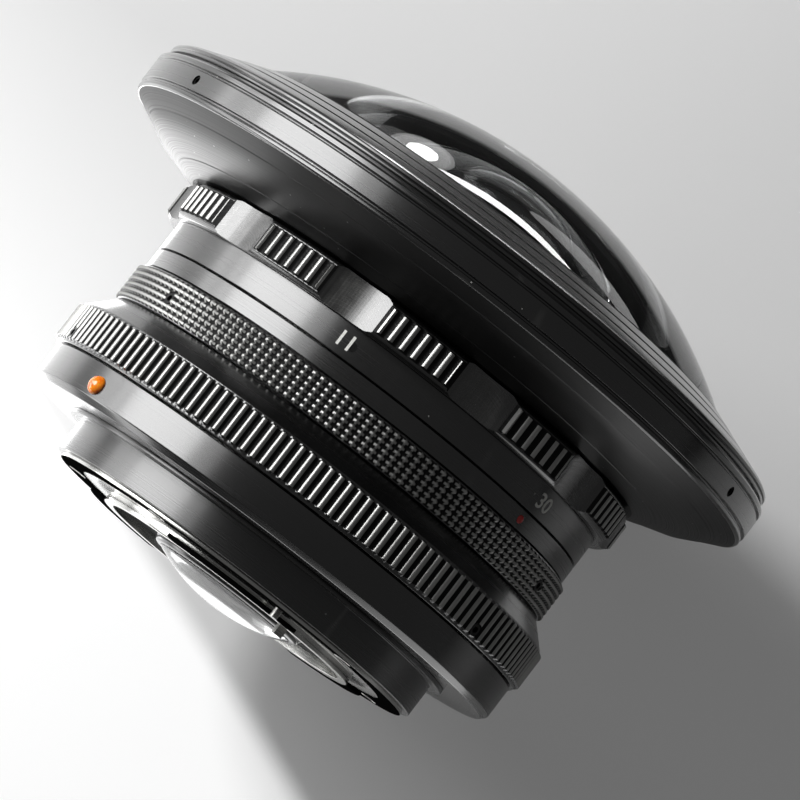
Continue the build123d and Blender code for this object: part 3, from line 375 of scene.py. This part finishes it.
# Locking collar: a wide ring with 156 straight ribs milled along the axis, anodised black, and a smooth
# neck that tapers to the stop ring. Three blackened set screws sit in it, sunk below the ribs.
# the three turning rings run on the main tube at one bearing radius
BEARING = 30.06
RIB_COUNT, COLLAR_ROOT, RIB_HEIGHT, RIB_TOP = 156, 41.75, 0.58, 0.3
RIB_SHARES = (1.0, 0.93, 0.62, 0.0, 0.0, 0.0, 0.62, 0.93)
grip_black = finished_metal("black_anodised_milled_ribs", "#0D0D0D", 0.25, 0.0, 0.2, 0.004, coat=1.0,
                            specular=0.9, speck_share=0.01, worn_hex="#8C8C8A", worn_share=0.6)
# the groove faces get a darker, duller black than the ribs: partly the rougher milled floor, partly painted
# shade in the grooves
groove_black_painted_shade = finished_metal("dull_black_milled_grooves_painted_shade", "#070707", 0.6, 0.0, 0.3, 0.004, specular=0.25)
# the tops of the ribs are rubbed down to a satin black-chromium sheen that takes the light widely
rib_sheen = finished_metal("satin_black_chromium_rib_tops", "#A8A8A6", 0.42, 1.0, 0.2, 0.004, coat=0.3)
collar = turned("locking_collar_ribbed", [
    (BEARING, 13.3), (39.15, 13.3), (39.15, 12.8), (COLLAR_ROOT, 12.8), (COLLAR_ROOT, 13.2),
    (COLLAR_ROOT, 13.5), (COLLAR_ROOT, 18.9), (COLLAR_ROOT, 19.2), (COLLAR_ROOT, 19.4), (38.5, 22.8),
    (35.9, 22.8), (35.9, 19.4), (39.15, 15.7), (BEARING, 15.7)], RIB_COUNT * len(RIB_SHARES))
soften(collar, 0.12, 2)


def share_of(shares, angle, pitch):
    """The share of a rib's height at an angle, from the shares at equal steps of its pitch."""
    return shares[round(angle / pitch * len(shares)) % len(shares)]


lift(collar, COLLAR_ROOT, RIB_HEIGHT, RIB_SHARES,
     lambda angle, station: share_of(RIB_SHARES, angle, 360 / RIB_COUNT) if 13.4 < station < 19.0 else 0.0)
COLLAR_SCREWS = [(138, 14.4), (258, 14.4), (18, 14.4)]
drill(collar, 1.0, 42.9, 41.0, COLLAR_SCREWS)
settle(collar, 52)
paint(collar, grip_black, groove_black_painted_shade, rib_sheen)
# painted shade: the groove faces between the ribs take the darker, duller black
use_other(collar, lambda radius, station: COLLAR_ROOT - 0.05 < radius < COLLAR_ROOT + RIB_TOP
          and 13.5 < station < 18.9)
use_other(collar, lambda radius, station: radius > COLLAR_ROOT + RIB_TOP, 2)
finish(collar, "collar", "black_grip", "locking_collar")
screw_black = finished_metal("blackened_screw_steel", "#1A1A1A", 0.35, 0.6, 0.1, 0.004)
for name in ("collar_set_screws", "aperture_set_screws", "distance_screws", "flange_screws"):
    paint(nodes[name], screw_black)

# Stop ring with its checkered grip: small square pads left between milled and turned grooves, six rows
# round the ring. It clicks from stop to stop and carries the pin that drives the iris.
PAD_COUNT, PAD_ROWS, PAD_REAR, PAD_FRONT, PAD_HEIGHT, PAD_TOP = 168, 6, 23.25, 28.95, 0.45, 0.2
PAD_SHARES, ROW_STEPS = (1.0, 1.0, 0.0, 0.0), (0.04, 0.3, 0.7, 0.96)
STOP_ROOT, STOP_REAR, STOP_FRONT = 38.5, 23.1, 29.1
row_pitch = (PAD_FRONT - PAD_REAR) / PAD_ROWS
row_edges = [(STOP_ROOT, PAD_REAR + (row + step) * row_pitch)
             for row in range(PAD_ROWS) for step in ROW_STEPS]
stop_ring = turned("aperture_ring_checkered", [
    (BEARING, 23.9), (34.2, 23.9), (34.2, 26.5), (35.9, 26.5), (35.9, STOP_REAR), (STOP_ROOT, STOP_REAR)]
    + row_edges + [(STOP_ROOT, STOP_FRONT), (BEARING, STOP_FRONT)], PAD_COUNT * len(PAD_SHARES))
soften(stop_ring, 0.08, 1)
lift(stop_ring, STOP_ROOT, PAD_HEIGHT, PAD_SHARES,
     lambda angle, station: share_of(PAD_SHARES, angle, 360 / PAD_COUNT)
     if PAD_REAR < station < PAD_FRONT and 0.2 < ((station - PAD_REAR) / row_pitch) % 1 < 0.8 else 0.0)
drill(stop_ring, 1.0, 39.4, 37.6, [(35, 25.9), (155, 25.9), (275, 25.9)])
settle(stop_ring, 66)
paint(stop_ring, grip_black, groove_black_painted_shade, rib_sheen)
# painted shade: the groove faces between the pads take the darker, duller black
use_other(stop_ring, lambda radius, station: STOP_ROOT - 0.05 < radius < STOP_ROOT + PAD_TOP
          and PAD_REAR < station < PAD_FRONT)
use_other(stop_ring, lambda radius, station: radius > STOP_ROOT + PAD_TOP, 2)
finish(stop_ring, "stop_ring", "black_grip", "aperture_ring")

# Fixed index ring with its red dot: a narrow lacquered ring, the dot a drop of red enamel in a small bore.
DOT_ANGLE, DOT_STATION, DOT_RADIUS, DOT_MIDDLE, DOT_DEPTH = 135, 30.8, 0.66, 37.84, 0.6
index_ring = turned("index_ring_turned", [
    (30.0, 29.4), (38.1, 29.4), (38.1, 32.2), (35.3, 32.2), (35.3, 31.8), (30.0, 31.8)], 256)
soften(index_ring, 0.12)
drill(index_ring, DOT_RADIUS + 0.02, 38.6, 37.6, [(DOT_ANGLE, DOT_STATION)])
settle(index_ring)
paint(index_ring, lacquer)
finish(index_ring, "mount", "black_lacquer", "index_ring")
bpy.ops.object.select_all(action="DESELECT")
bpy.ops.mesh.primitive_cylinder_add(
    vertices=32, radius=DOT_RADIUS * MM, depth=DOT_DEPTH * MM,
    rotation=(0, math.pi / 2 - math.radians(DOT_ANGLE), 0),
    location=on_ring(DOT_MIDDLE, DOT_ANGLE, DOT_STATION))
dot = bpy.context.object
dot.name = dot.data.name = "index_dot_enamel"
bpy.ops.object.transform_apply(location=True, rotation=True, scale=True)
soften(dot, 0.14, 4)
settle(dot)
paint(dot, clouded("red_enamel_drop", 0.5, 3.0, 0.15, "#A50A08", "#E01A12",
                   {"Roughness": 0.2, "Coat Weight": 0.6}))
finish(dot, "mount", "red_enamel", "index_dot")

# Distance ring with its figures: a plain lacquered ring on the skirt of the focusing ring; the figures are
# engraved and filled with white paint, here a thin layer of paint that follows the ring.
distance = turned("distance_ring_turned", [
    (36.6, 32.5), (38.1, 32.5), (38.1, 37.2), (36.6, 37.2)], 256)
soften(distance, 0.12)
settle(distance)
paint(distance, lacquer)
finish(distance, "focus", "black_lacquer", "distance_ring")
FIGURE_HEIGHT, FIGURE_STATION, FIGURE_RADIUS, PAINT_THICKNESS, STROKE_SWELL = 2.3, 33.7, 38.13, 0.03, 0.05
HEIGHT_SHARE = 0.7
white_paint = clouded("white_filling_paint", 0.4, 4.0, 0.2, "#B9B9B4", "#F4F4F0", {"Roughness": 0.5})
for figure, figure_angle in (("11", 78.0), ("30", 138.0), ("6", 198.0), ("4", 258.0)):
    bpy.ops.object.select_all(action="DESELECT")
    bpy.ops.object.text_add()
    label = bpy.context.object
    # a figure of the built-in lettering is a share of its type size high
    label.data.body, label.data.size = figure, FIGURE_HEIGHT / HEIGHT_SHARE * MM
    label.data.align_x, label.data.extrude, label.data.resolution_u = "CENTER", PAINT_THICKNESS * MM, 4
    label.data.offset = STROKE_SWELL * MM
    bpy.ops.object.convert(target="MESH")
    label = bpy.context.object
    label.name = label.data.name = f"distance_figure_{figure}"
    for vertex in label.data.vertices:
        across, up, out = vertex.co
        turn = math.radians(figure_angle) + across / (FIGURE_RADIUS * MM)
        reach = FIGURE_RADIUS * MM + out
        vertex.co = (reach * math.cos(turn), -FIGURE_STATION * MM - up, reach * math.sin(turn))
    bpy.ops.object.mode_set(mode="EDIT")
    bpy.ops.mesh.select_all(action="SELECT")
    bpy.ops.mesh.normals_make_consistent(inside=False)
    bpy.ops.object.mode_set(mode="OBJECT")
    paint(label, white_paint)
    finish(label, "focus", "black_lacquer")

# Focusing ring: eleven ribbed hills with a smooth milled hollow between each two, anodised black. Its hub
# turns on the main tube and drives the brass nut of the focusing thread.
HILL_COUNT, HILL_SEGMENTS, FIRST_HILL, HILL_HALF, LAST_STEP = 11, 80, 91.2, 21, 45
FOCUS_ROOT, FOCUS_RIB, RIB_REAR, RIB_FRONT = 40.15, 0.55, 37.9, 42.4
FOCUS_SHARES = (1.0, 1.0, 0.6, 0.0, 0.0, 0.0, 0.6)
focus = turned("focus_ring_scalloped", [
    (BEARING, 32.5), (31.86, 32.5), (31.86, 38.0), (34.2, 38.0), (34.2, 32.5), (36.6, 32.5), (36.6, 37.2),
    (37.8, 37.2), (39.6, 37.2), (FOCUS_ROOT, 37.7), (FOCUS_ROOT, RIB_REAR), (FOCUS_ROOT, 38.15),
    (FOCUS_ROOT, 42.15), (FOCUS_ROOT, RIB_FRONT),
    (FOCUS_ROOT, 42.6), (39.6, 43.1), (32.6, 43.1),
    (32.6, 39.7), (BEARING, 39.7)], HILL_COUNT * HILL_SEGMENTS)
activate(focus)
bpy.ops.object.mode_set(mode="EDIT")
bpy.ops.mesh.select_all(action="SELECT")
bpy.ops.transform.rotate(value=-math.radians(FIRST_HILL - 90), orient_axis="Y", center_override=(0, 0, 0))
bpy.ops.object.mode_set(mode="OBJECT")
segment_angle = 360 / (HILL_COUNT * HILL_SEGMENTS)


def rib_share(angle, station):
    """The share of a rib's height at a place on one of the hills."""
    from_hill = (angle - FIRST_HILL + 180 / HILL_COUNT) % (360 / HILL_COUNT) - 180 / HILL_COUNT
    step = round(from_hill / segment_angle) + HILL_HALF
    if not -2 <= step <= LAST_STEP or not 38.0 < station < 42.3:
        return 0.0
    return FOCUS_SHARES[step % len(FOCUS_SHARES)]


soften(focus, 0.12, 2)
lift(focus, FOCUS_ROOT, FOCUS_RIB, FOCUS_SHARES, rib_share)
HOLLOW_RADIUS, HOLLOW_FLOOR, HOLLOW_LENGTH = 12.8, 38.9, 8
hollows = []
for hollow in range(HILL_COUNT):
    hollow_angle = FIRST_HILL + 180 / HILL_COUNT + hollow * 360 / HILL_COUNT
    bpy.ops.object.select_all(action="DESELECT")
    bpy.ops.mesh.primitive_cylinder_add(
        vertices=160, radius=HOLLOW_RADIUS * MM, depth=HOLLOW_LENGTH * MM, rotation=(math.pi / 2, 0, 0),
        location=on_ring(HOLLOW_FLOOR + HOLLOW_RADIUS, hollow_angle, (RIB_REAR + RIB_FRONT) / 2))
    hollows.append(bpy.context.object)
cut_away(focus, hollows)
settle(focus, 44)
paint(focus, grip_black, groove_black_painted_shade, rib_sheen)
# painted shade: the groove faces between the ribs of the hills take the darker, duller black
use_other(focus, lambda radius, station: FOCUS_ROOT - 0.05 < radius < FOCUS_ROOT + RIB_TOP
          and RIB_REAR < station < RIB_FRONT)
use_other(focus, lambda radius, station: radius > FOCUS_ROOT + RIB_TOP, 2)
finish(focus, "focus", "black_grip", "focus_ring")

# Brass parts of the focusing thread and the iris: the key, the retainer, the nut and the cam ring, turned
# from brass and left bright and a little oily.
brass = finished_metal("turned_brass", "#B08D4A", 0.26, 1.0, 0.14, 0.005)
for name in ("focus_key", "focus_retainer", "helicoid_nut", "iris_cam_ring"):
    paint(nodes[name], brass)

# Front cone: a black lacquered aluminium casting, turned outside with a few shallow lines, that spreads
# from the focusing ring to the flange.
cone_black = finished_metal("satin_black_lacquer_on_casting", "#080808", 0.36, 0.0, 0.3, 0.002,
                            specular=0.4, speck_share=0.05)
cone = turned("front_cone_turned", [
    (26.95, 43.5), (40.2, 43.5), (43.6, 44.6), (43.7, 44.7), (48.8, 46.3), (51.2, 47.55), (51.3, 47.65),
    (54.6, 49.3), (46.0, 49.3), (46.0, 48.1), (39.8, 45.3), (26.95, 45.3)], 320)
soften(cone, 0.2, 3, 14)
settle(cone)
paint(cone, cone_black)
finish(cone, "optics", "black_lacquer", "front_cone")

# Front flange: the heavy rim that seats the dome, lacquered black, with turned bands and grooves round it
# and three sunk set screws. Inside it is painted dead black.
flange = turned("front_flange_turned", [
    (46.0, 49.3), (54.75, 49.3), (55.05, 49.6), (55.05, 50.1), (54.75, 50.2), (54.75, 50.5), (55.2, 50.65),
    (55.2, 53.65), (54.85, 53.8), (54.85, 54.05), (55.2, 54.2), (55.2, 54.9), (54.9, 55.2), (51.6, 55.2),
    (51.6, 53.0), (50.2, 53.0), (50.2, 52.0), (46.0, 52.0)], 384)
soften(flange, 0.08, 2, 20)
drill(flange, 0.8, 55.6, 54.2, [(31, 52.2), (151, 52.2), (271, 52.2)])
settle(flange)
paint(flange, lacquer, dull_black)
use_other(flange, lambda radius, station: radius < 51.0 and station > 49.5)
finish(flange, "optics", "black_lacquer", "front_flange")

# Bezel in front of the flange: it holds the dome down, and its stepped cone lies on the glass up to a thin
# edge. Turned from aluminium, lacquered black.
DOME_RADIUS, DOME_APEX, AXIS_HOLE = 71.6, 75.8, 0.02
BEZEL_EDGE, BEZEL_GAP, BEZEL_STEPS, BEZEL_GROOVE = 43.7, 0.05, 3, 0.22


def arc_corners(radius, apex, start, end, steps):
    """Corners along a ground surface, between two distances from the axis. A negative radius is hollow to the
    rear."""
    corners = []
    for step in range(steps + 1):
        distance = start + (end - start) * step / steps
        depth = abs(radius) - math.sqrt(radius * radius - distance * distance)
        corners.append((max(distance, AXIS_HOLE), apex - math.copysign(depth, radius)))
    return corners


bezel_under = arc_corners(DOME_RADIUS, DOME_APEX + BEZEL_GAP, BEZEL_EDGE, 48.4, 5)
bezel_foot, bezel_head = (53.9, 57.3), (BEZEL_EDGE + 0.4, bezel_under[0][1] + 0.35)
bezel_cone = []
for step in range(BEZEL_STEPS):
    for share, sunk in ((0.0, 0.0), (0.8, 0.0), (0.84, BEZEL_GROOVE), (0.96, BEZEL_GROOVE)):
        along = (step + share) / BEZEL_STEPS
        bezel_cone.append((bezel_foot[0] + (bezel_head[0] - bezel_foot[0]) * along,
                           bezel_foot[1] + (bezel_head[1] - bezel_foot[1]) * along - sunk))
front_ring = turned("front_ring_turned", [
    (48.5, 56.6), (51.6, 56.3), (51.6, 55.2), (53.4, 55.2), (53.4, 55.8), (54.4, 55.8), (54.4, 56.2),
    (54.2, 56.35), (54.4, 56.5), (54.4, 56.9)] + bezel_cone + [bezel_head, (BEZEL_EDGE, bezel_head[1] - 0.1)]
    + bezel_under, 384)
soften(front_ring, 0.06, 2, 20)
settle(front_ring)
paint(front_ring, lacquer)
finish(front_ring, "optics", "black_lacquer", "front_ring")

# Glass: each element is ground and polished, the front ones coated, so the glass itself is nearly
# colourless and its rim is blackened. The dome is a deep meniscus.
DOME_CLEAR, DOME_HOLLOW, DOME_MIDDLE, DOME_RIM, DOME_BACK = 48.3, 34.0, 4.0, 50.2, 52.0


def optical_glass(name, ior, gloss_share):
    """Polished glass with a faint film of dust in its gloss. A coating leaves only a share of the gloss that
    bare glass has."""
    made = fresh_material(name)
    tree = made.node_tree
    place = add(tree, "TexCoord").outputs["Object"]
    film = add(tree, "TexNoise", {"Vector": place}, {"Scale": 1 / (14 * MM), "Detail": 5.0})
    gloss = add(tree, "MapRange", {"Value": film.outputs["Fac"]},
                {"From Min": 0.45, "From Max": 0.8, "To Min": 0.0, "To Max": 0.035})
    shader = add(tree, "BsdfPrincipled", {"Roughness": gloss.outputs[0]},
                 {"Base Color": linear("#FBFCFC"), "Transmission Weight": 1.0, "IOR": ior,
                  "Specular Tint": (gloss_share, gloss_share, gloss_share, 1.0)})
    add(tree, "OutputMaterial", {"Surface": shader.outputs[0]})
    return made


def close_on_axis(piece):
    """Closes the small holes that turning leaves on the axis of a glass, and smooths the glass."""
    activate(piece)
    bpy.ops.object.mode_set(mode="EDIT")
    pick(piece, lambda radius, angle, station: radius < 1.5 * AXIS_HOLE)
    bpy.ops.mesh.delete(type="FACE")
    bpy.ops.mesh.select_mode(type="EDGE")
    bpy.ops.mesh.select_all(action="DESELECT")
    bpy.ops.mesh.select_non_manifold()
    bpy.ops.mesh.edge_face_add()
    bpy.ops.mesh.select_all(action="SELECT")
    bpy.ops.mesh.normals_make_consistent(inside=False)
    bpy.ops.object.mode_set(mode="OBJECT")
    bpy.ops.object.shade_smooth_by_angle(angle=math.radians(25))


glass = optical_glass("polished_optical_glass", 1.62, 0.4)
bare_glass = optical_glass("polished_bare_optical_glass", 1.62, 1.0)
coated_glass = optical_glass("polished_and_coated_optical_glass", 1.62, 0.06)
rim_black = finished_metal("blackened_glass_rim", "#050505", 0.6, 0.0, 0.3, 0.004, specular=0.3)
hollow_apex = DOME_APEX - DOME_MIDDLE
hollow_mouth = math.sqrt(DOME_HOLLOW ** 2 - (DOME_BACK - hollow_apex + DOME_HOLLOW) ** 2)
ledge = DOME_APEX - DOME_RADIUS + math.sqrt(DOME_RADIUS ** 2 - DOME_CLEAR ** 2)
dome = turned("front_dome_polished",
              arc_corners(DOME_RADIUS, DOME_APEX, 0.0, DOME_CLEAR, 40)
              + [(DOME_CLEAR, ledge - 1.0), (DOME_RIM, ledge - 1.0), (DOME_RIM, DOME_BACK)]
              + arc_corners(DOME_HOLLOW, hollow_apex, hollow_mouth, 0.0, 32), 256)
close_on_axis(dome)
paint(dome, glass, rim_black, coated_glass)
use_other(dome, lambda radius, station: radius > DOME_CLEAR + 0.1 or station < DOME_BACK + 0.01)
use_other(dome, lambda radius, station: radius < hollow_mouth + 0.5 and station < hollow_apex + 0.1, 2)
finish(dome, "optics", "coated_glass", "front_dome")
for name in ("second_element", "third_element", "fourth_element"):
    paint(nodes[name], coated_glass)
for name in ("optical_barrel", "second_ring", "middle_cell", "third_ring", "iris_housing", "iris_cover",
             "iris_spacer", "fourth_ring", "rear_spacer"):
    paint(nodes[name], dull_black)
blued = finished_metal("blued_spring_steel", "#2A2C30", 0.38, 0.9, 0.25, 0.003)
for count in range(6):
    paint(nodes[f"iris_blade_{count + 1}"], blued)

# Rear barrel with the rear glass: a slim black barrel that reaches through the throat; the bulging rear
# element stands proud of it behind a rounded ring.
REAR_GLASS, REAR_CLEAR, RING_OUTER, RING_FRONT = 12.25, 11.75, 12.9, -0.6
rear_barrel = turned("rear_barrel_turned", [
    (REAR_GLASS, RING_FRONT), (RING_OUTER, RING_FRONT), (15.0, 2.2), (15.0, 18.0), (24.6, 18.0),
    (24.6, 19.6), (11.4, 19.6), (11.4, 1.68), (REAR_GLASS, 1.68)], 192)
soften(rear_barrel, 0.08)
settle(rear_barrel)
paint(rear_barrel, anodised)
finish(rear_barrel, "optics", "black_anodised", "rear_barrel")
rear_ring = turned("rear_ring_turned", [
    (REAR_CLEAR, -1.3), (12.35, -1.3), (12.74, -1.14), (RING_OUTER, -0.75), (RING_OUTER, RING_FRONT),
    (REAR_CLEAR, RING_FRONT)], 192)
soften(rear_ring, 0.05)
settle(rear_ring)
paint(rear_ring, anodised)
finish(rear_ring, "optics", "black_anodised", "rear_ring")
front_face = arc_corners(60.0, 2.6, 0.0, 10.5, 12)
back_face = arc_corners(-28.7, -3.9, 11.7, 0.0, 24)
rear_glass = turned("rear_element_polished",
                    front_face + [(REAR_GLASS, front_face[-1][1]), (REAR_GLASS, RING_FRONT),
                                  (11.7, RING_FRONT)] + back_face, 192)
close_on_axis(rear_glass)
paint(rear_glass, bare_glass, rim_black)
use_other(rear_glass, lambda radius, station: radius > REAR_CLEAR)
finish(rear_glass, "optics", "coated_glass", "rear_element")

# Pale table top: smooth white board, a little uneven in tone. What the camera sees of it and what the gloss
# of the lens sees of it are set apart: painted light makes it over-bright near the lamp, painted shade
# darkens it in the gloss, and the lamps leave it in shadow beyond.
FLOOR_HEIGHT, FLOOR_SIZE = -55.25, 6.0
# the board's white, the strength of its painted light glow, and an even glow for the camera
BOARD_WHITE, PAINTED_LIGHT_GLOW, EVEN_GLOW = 0.68, 0.42, 0.085
bpy.ops.object.select_all(action="DESELECT")
bpy.ops.mesh.primitive_plane_add(size=FLOOR_SIZE, location=(0, 0, FLOOR_HEIGHT * MM))
floor = bpy.context.object
floor.name = floor.data.name = "table_top"
board = fresh_material("matt_white_board_painted_light")
tree = board.node_tree


def ramp(value, low, high, start=0.0, end=1.0, course="SMOOTHSTEP"):
    """On the board: a value that goes from its start to its end while another runs from low to high."""
    made = add(tree, "MapRange", {"Value": value},
               {"From Min": low, "From Max": high, "To Min": start, "To Max": end}, interpolation_type=course)
    return made.outputs[0]


def join(operation, first, second, constants=None):
    """On the board: two values joined by one step of arithmetic."""
    return add(tree, "Math", {0: first, 1: second}, constants, operation=operation).outputs[0]


board_place = add(tree, "TexCoord").outputs["Object"]
board_cloud = add(tree, "TexNoise", {"Vector": board_place}, {"Scale": 6.0, "Detail": 5.0}).outputs["Fac"]
board_tone = ramp(board_cloud, 0.0, 1.0, 0.95, 1.05, "LINEAR")
board_parts = add(tree, "SeparateXYZ", {"Vector": board_place})
across, along = board_parts.outputs["X"], board_parts.outputs["Y"]
# painted light: toward the lamp and the rear, up to the edge of the shadow, the board glows over-bright,
# both to the camera and in the gloss
slant = add(tree, "VectorMath", {0: board_place}, {1: (0.36, 0.93, 0)}, operation="DOT_PRODUCT")
painted_light_corner = join("MULTIPLY", ramp(along, -0.065, 0.0, course="LINEAR"), ramp(across, 0.0, 0.05))
painted_light_mask = join("MAXIMUM", painted_light_corner, ramp(slant.outputs["Value"], 0.0025, 0.0075))
fore = ramp(along, -0.05, -0.03, start=0.2)
# painted shade: behind the rim the gloss and the bounce light find the board dimmer
painted_shade_in_gloss = join("MULTIPLY_ADD", ramp(along, 0.045, 0.06), ramp(across, 0.045, 0.06, end=-0.75), {2: 1.0})
# painted reflection: glossy rays see the board glow toward the lamp and in the painted light, less far out
# and in front
gloss = join("MAXIMUM", ramp(across, 0.04, 0.09), painted_light_mask)
gloss = join("MULTIPLY", gloss, ramp(across, 0.1, 0.18, 0.85, 0.15))
gloss = join("MULTIPLY", join("MULTIPLY", gloss, fore), painted_shade_in_gloss)
rays = add(tree, "LightPath")
camera_ray, glossy_ray = rays.outputs["Is Camera Ray"], rays.outputs["Is Glossy Ray"]
# the camera sees an even glow plus the painted light; glossy rays see the painted reflection
seen_painted_light = add(tree, "Math", {0: join("MULTIPLY", camera_ray, painted_light_mask)}, {1: PAINTED_LIGHT_GLOW}, operation="MULTIPLY")
seen = add(tree, "Math", {0: camera_ray, 2: seen_painted_light.outputs[0]}, {1: EVEN_GLOW}, operation="MULTIPLY_ADD")
glow = join("MAXIMUM", seen.outputs[0], join("MULTIPLY", glossy_ray, gloss))
# painted shade: to all but camera rays the board turns dark in front of the lens and far out toward the lamp,
# so the gloss sees a dark table beyond it; the camera sees it white
board_white_and_painted_dark = ramp(along, -0.128, -0.12, 0.03, BOARD_WHITE, "LINEAR")
board_white_and_painted_dark = join("MULTIPLY", board_white_and_painted_dark, join("MULTIPLY_ADD", ramp(across, 0.14, 0.19, end=-0.75), fore, {2: 1.0}))
seen_white = add(tree, "Math", {0: camera_ray}, {1: BOARD_WHITE}, operation="MULTIPLY").outputs[0]
board_white_and_painted_dark = join("MAXIMUM", join("MULTIPLY", board_white_and_painted_dark, painted_shade_in_gloss), seen_white)
shade = add(tree, "VectorMath", {0: board_tone, 1: board_white_and_painted_dark}, operation="MULTIPLY").outputs[0]
board_shader = add(tree, "BsdfPrincipled", {"Base Color": shade, "Emission Strength": glow},
                   {"Roughness": 0.75, "Specular IOR Level": 0.2, "Emission Color": (1, 1, 1, 1)})
add(tree, "OutputMaterial", {"Surface": board_shader.outputs[0]})
paint(floor, board)

# Studio light: a small lamp inside a large reflector with a soft edge on the left, low enough for a long
# shadow, and pale cards on the table beside and under the lens that light its left limbs. In front of the
# glass a small round lamp in its dish and two narrow strips give the dome its highlights. The room is dim.
def soft_light(name, azimuth, elevation, distance, width, height, power, shape="ELLIPSE", aim=(0, 0, 0)):
    """A flat light that faces a point of the lens from a direction; azimuth 0 is +X, turning toward -Y."""
    turn, rise = math.radians(azimuth), math.radians(elevation)
    away = Vector((math.cos(turn) * math.cos(rise), -math.sin(turn) * math.cos(rise), math.sin(rise)))
    bpy.ops.object.light_add(type="AREA", location=Vector(aim) * MM + away * distance)
    lamp = bpy.context.object
    lamp.name = name
    lamp.data.shape, lamp.data.size, lamp.data.size_y = shape, width, height
    lamp.data.energy = power
    lamp.rotation_euler = away.to_track_quat("Z", "Y").to_euler()
    lamp.visible_camera = False
    return lamp


CARD_HEIGHT = FLOOR_HEIGHT + 3


def lay_card(card, facing):
    """Lays a card just above the table and turns it to face a direction."""
    card.location.z = CARD_HEIGHT * MM
    card.rotation_euler = Vector(facing).to_track_quat("-Z", "Y").to_euler()


lamp = soft_light("lamp_left", 22, 27, 0.5, 0.08, 0.08, 2.2)
lamp.visible_glossy = False
soft_light("reflector_left", 8, 26, 1.35, 0.7, 0.95, 8.2)
edge = soft_light("reflector_edge_left", 8, 28, 1.4, 1.1, 1.5, 7.7)
edge.visible_diffuse = False
lay_card(soft_light("card_left", -8, -6, 0.36, 0.45, 0.5, 1.72, "RECTANGLE"), (-0.45, -0.08, 0.9))
lay_card(soft_light("card_rear_left", -30, -8, 0.22, 0.24, 0.24, 0.5, "RECTANGLE"), (-0.3, -0.2, 0.93))
for name, x, y, length, width, power in (("card_under_rim", 0.0535, -0.0155, 0.062, 0.015, 0.0078),
                                         ("card_under_cone", 0.0525, -0.001, 0.026, 0.015, 0.0026)):
    low_card = soft_light(name, 0, -45, 0.08, length, width, power, "RECTANGLE")
    low_card.location = (x, y, CARD_HEIGHT * MM)
    low_card.rotation_euler = (math.pi, 0, math.pi / 2)
DOME_LEFT, DOME_TOP, DOME_RIGHT = (15.6, -62.4, 38.7), (1.5, -61.4, 43.0), (-4.0, -64.0, 40.0)
soft_light("bulb_front", 76, -32, 0.126, 0.0128, 0.0184, 0.0058, aim=DOME_LEFT)
soft_light("dish_front", 76, -32, 0.13, 0.0233, 0.036, 0.00124, aim=DOME_LEFT)
soft_light("dish_edge_front", 76, -32, 0.134, 0.027, 0.041, 0.0036, aim=DOME_LEFT)
soft_light("strip_front", 87, -27.2, 0.2, 0.115, 0.011, 0.034, aim=DOME_TOP)
soft_light("low_strip_front", 107, -36, 0.14, 0.07, 0.016, 0.0036, aim=DOME_RIGHT)
room = bpy.data.worlds.new("dim_room")
bpy.context.scene.world = room
room.use_nodes = True
room.node_tree.nodes.clear()
tree = room.node_tree
room_glow = add(tree, "Background", None, {"Color": (1, 1, 1, 1), "Strength": 0.09})
add(tree, "OutputWorld", {"Surface": room_glow.outputs[0]})

# Camera: a long lens from above and a little behind the bayonet, placed by fitting the turned edges of the
# rings to the photograph.
bpy.ops.object.camera_add(
    location=(-0.003148, 0.055977, 0.898997),
    rotation=[math.radians(value) for value in (4.672699, -3.576865, -142.645953)])
camera = bpy.context.object
camera.data.lens, camera.data.sensor_width = 278.774, 36.0
bpy.context.scene.camera = camera
bpy.context.scene.view_settings.view_transform = "Standard"
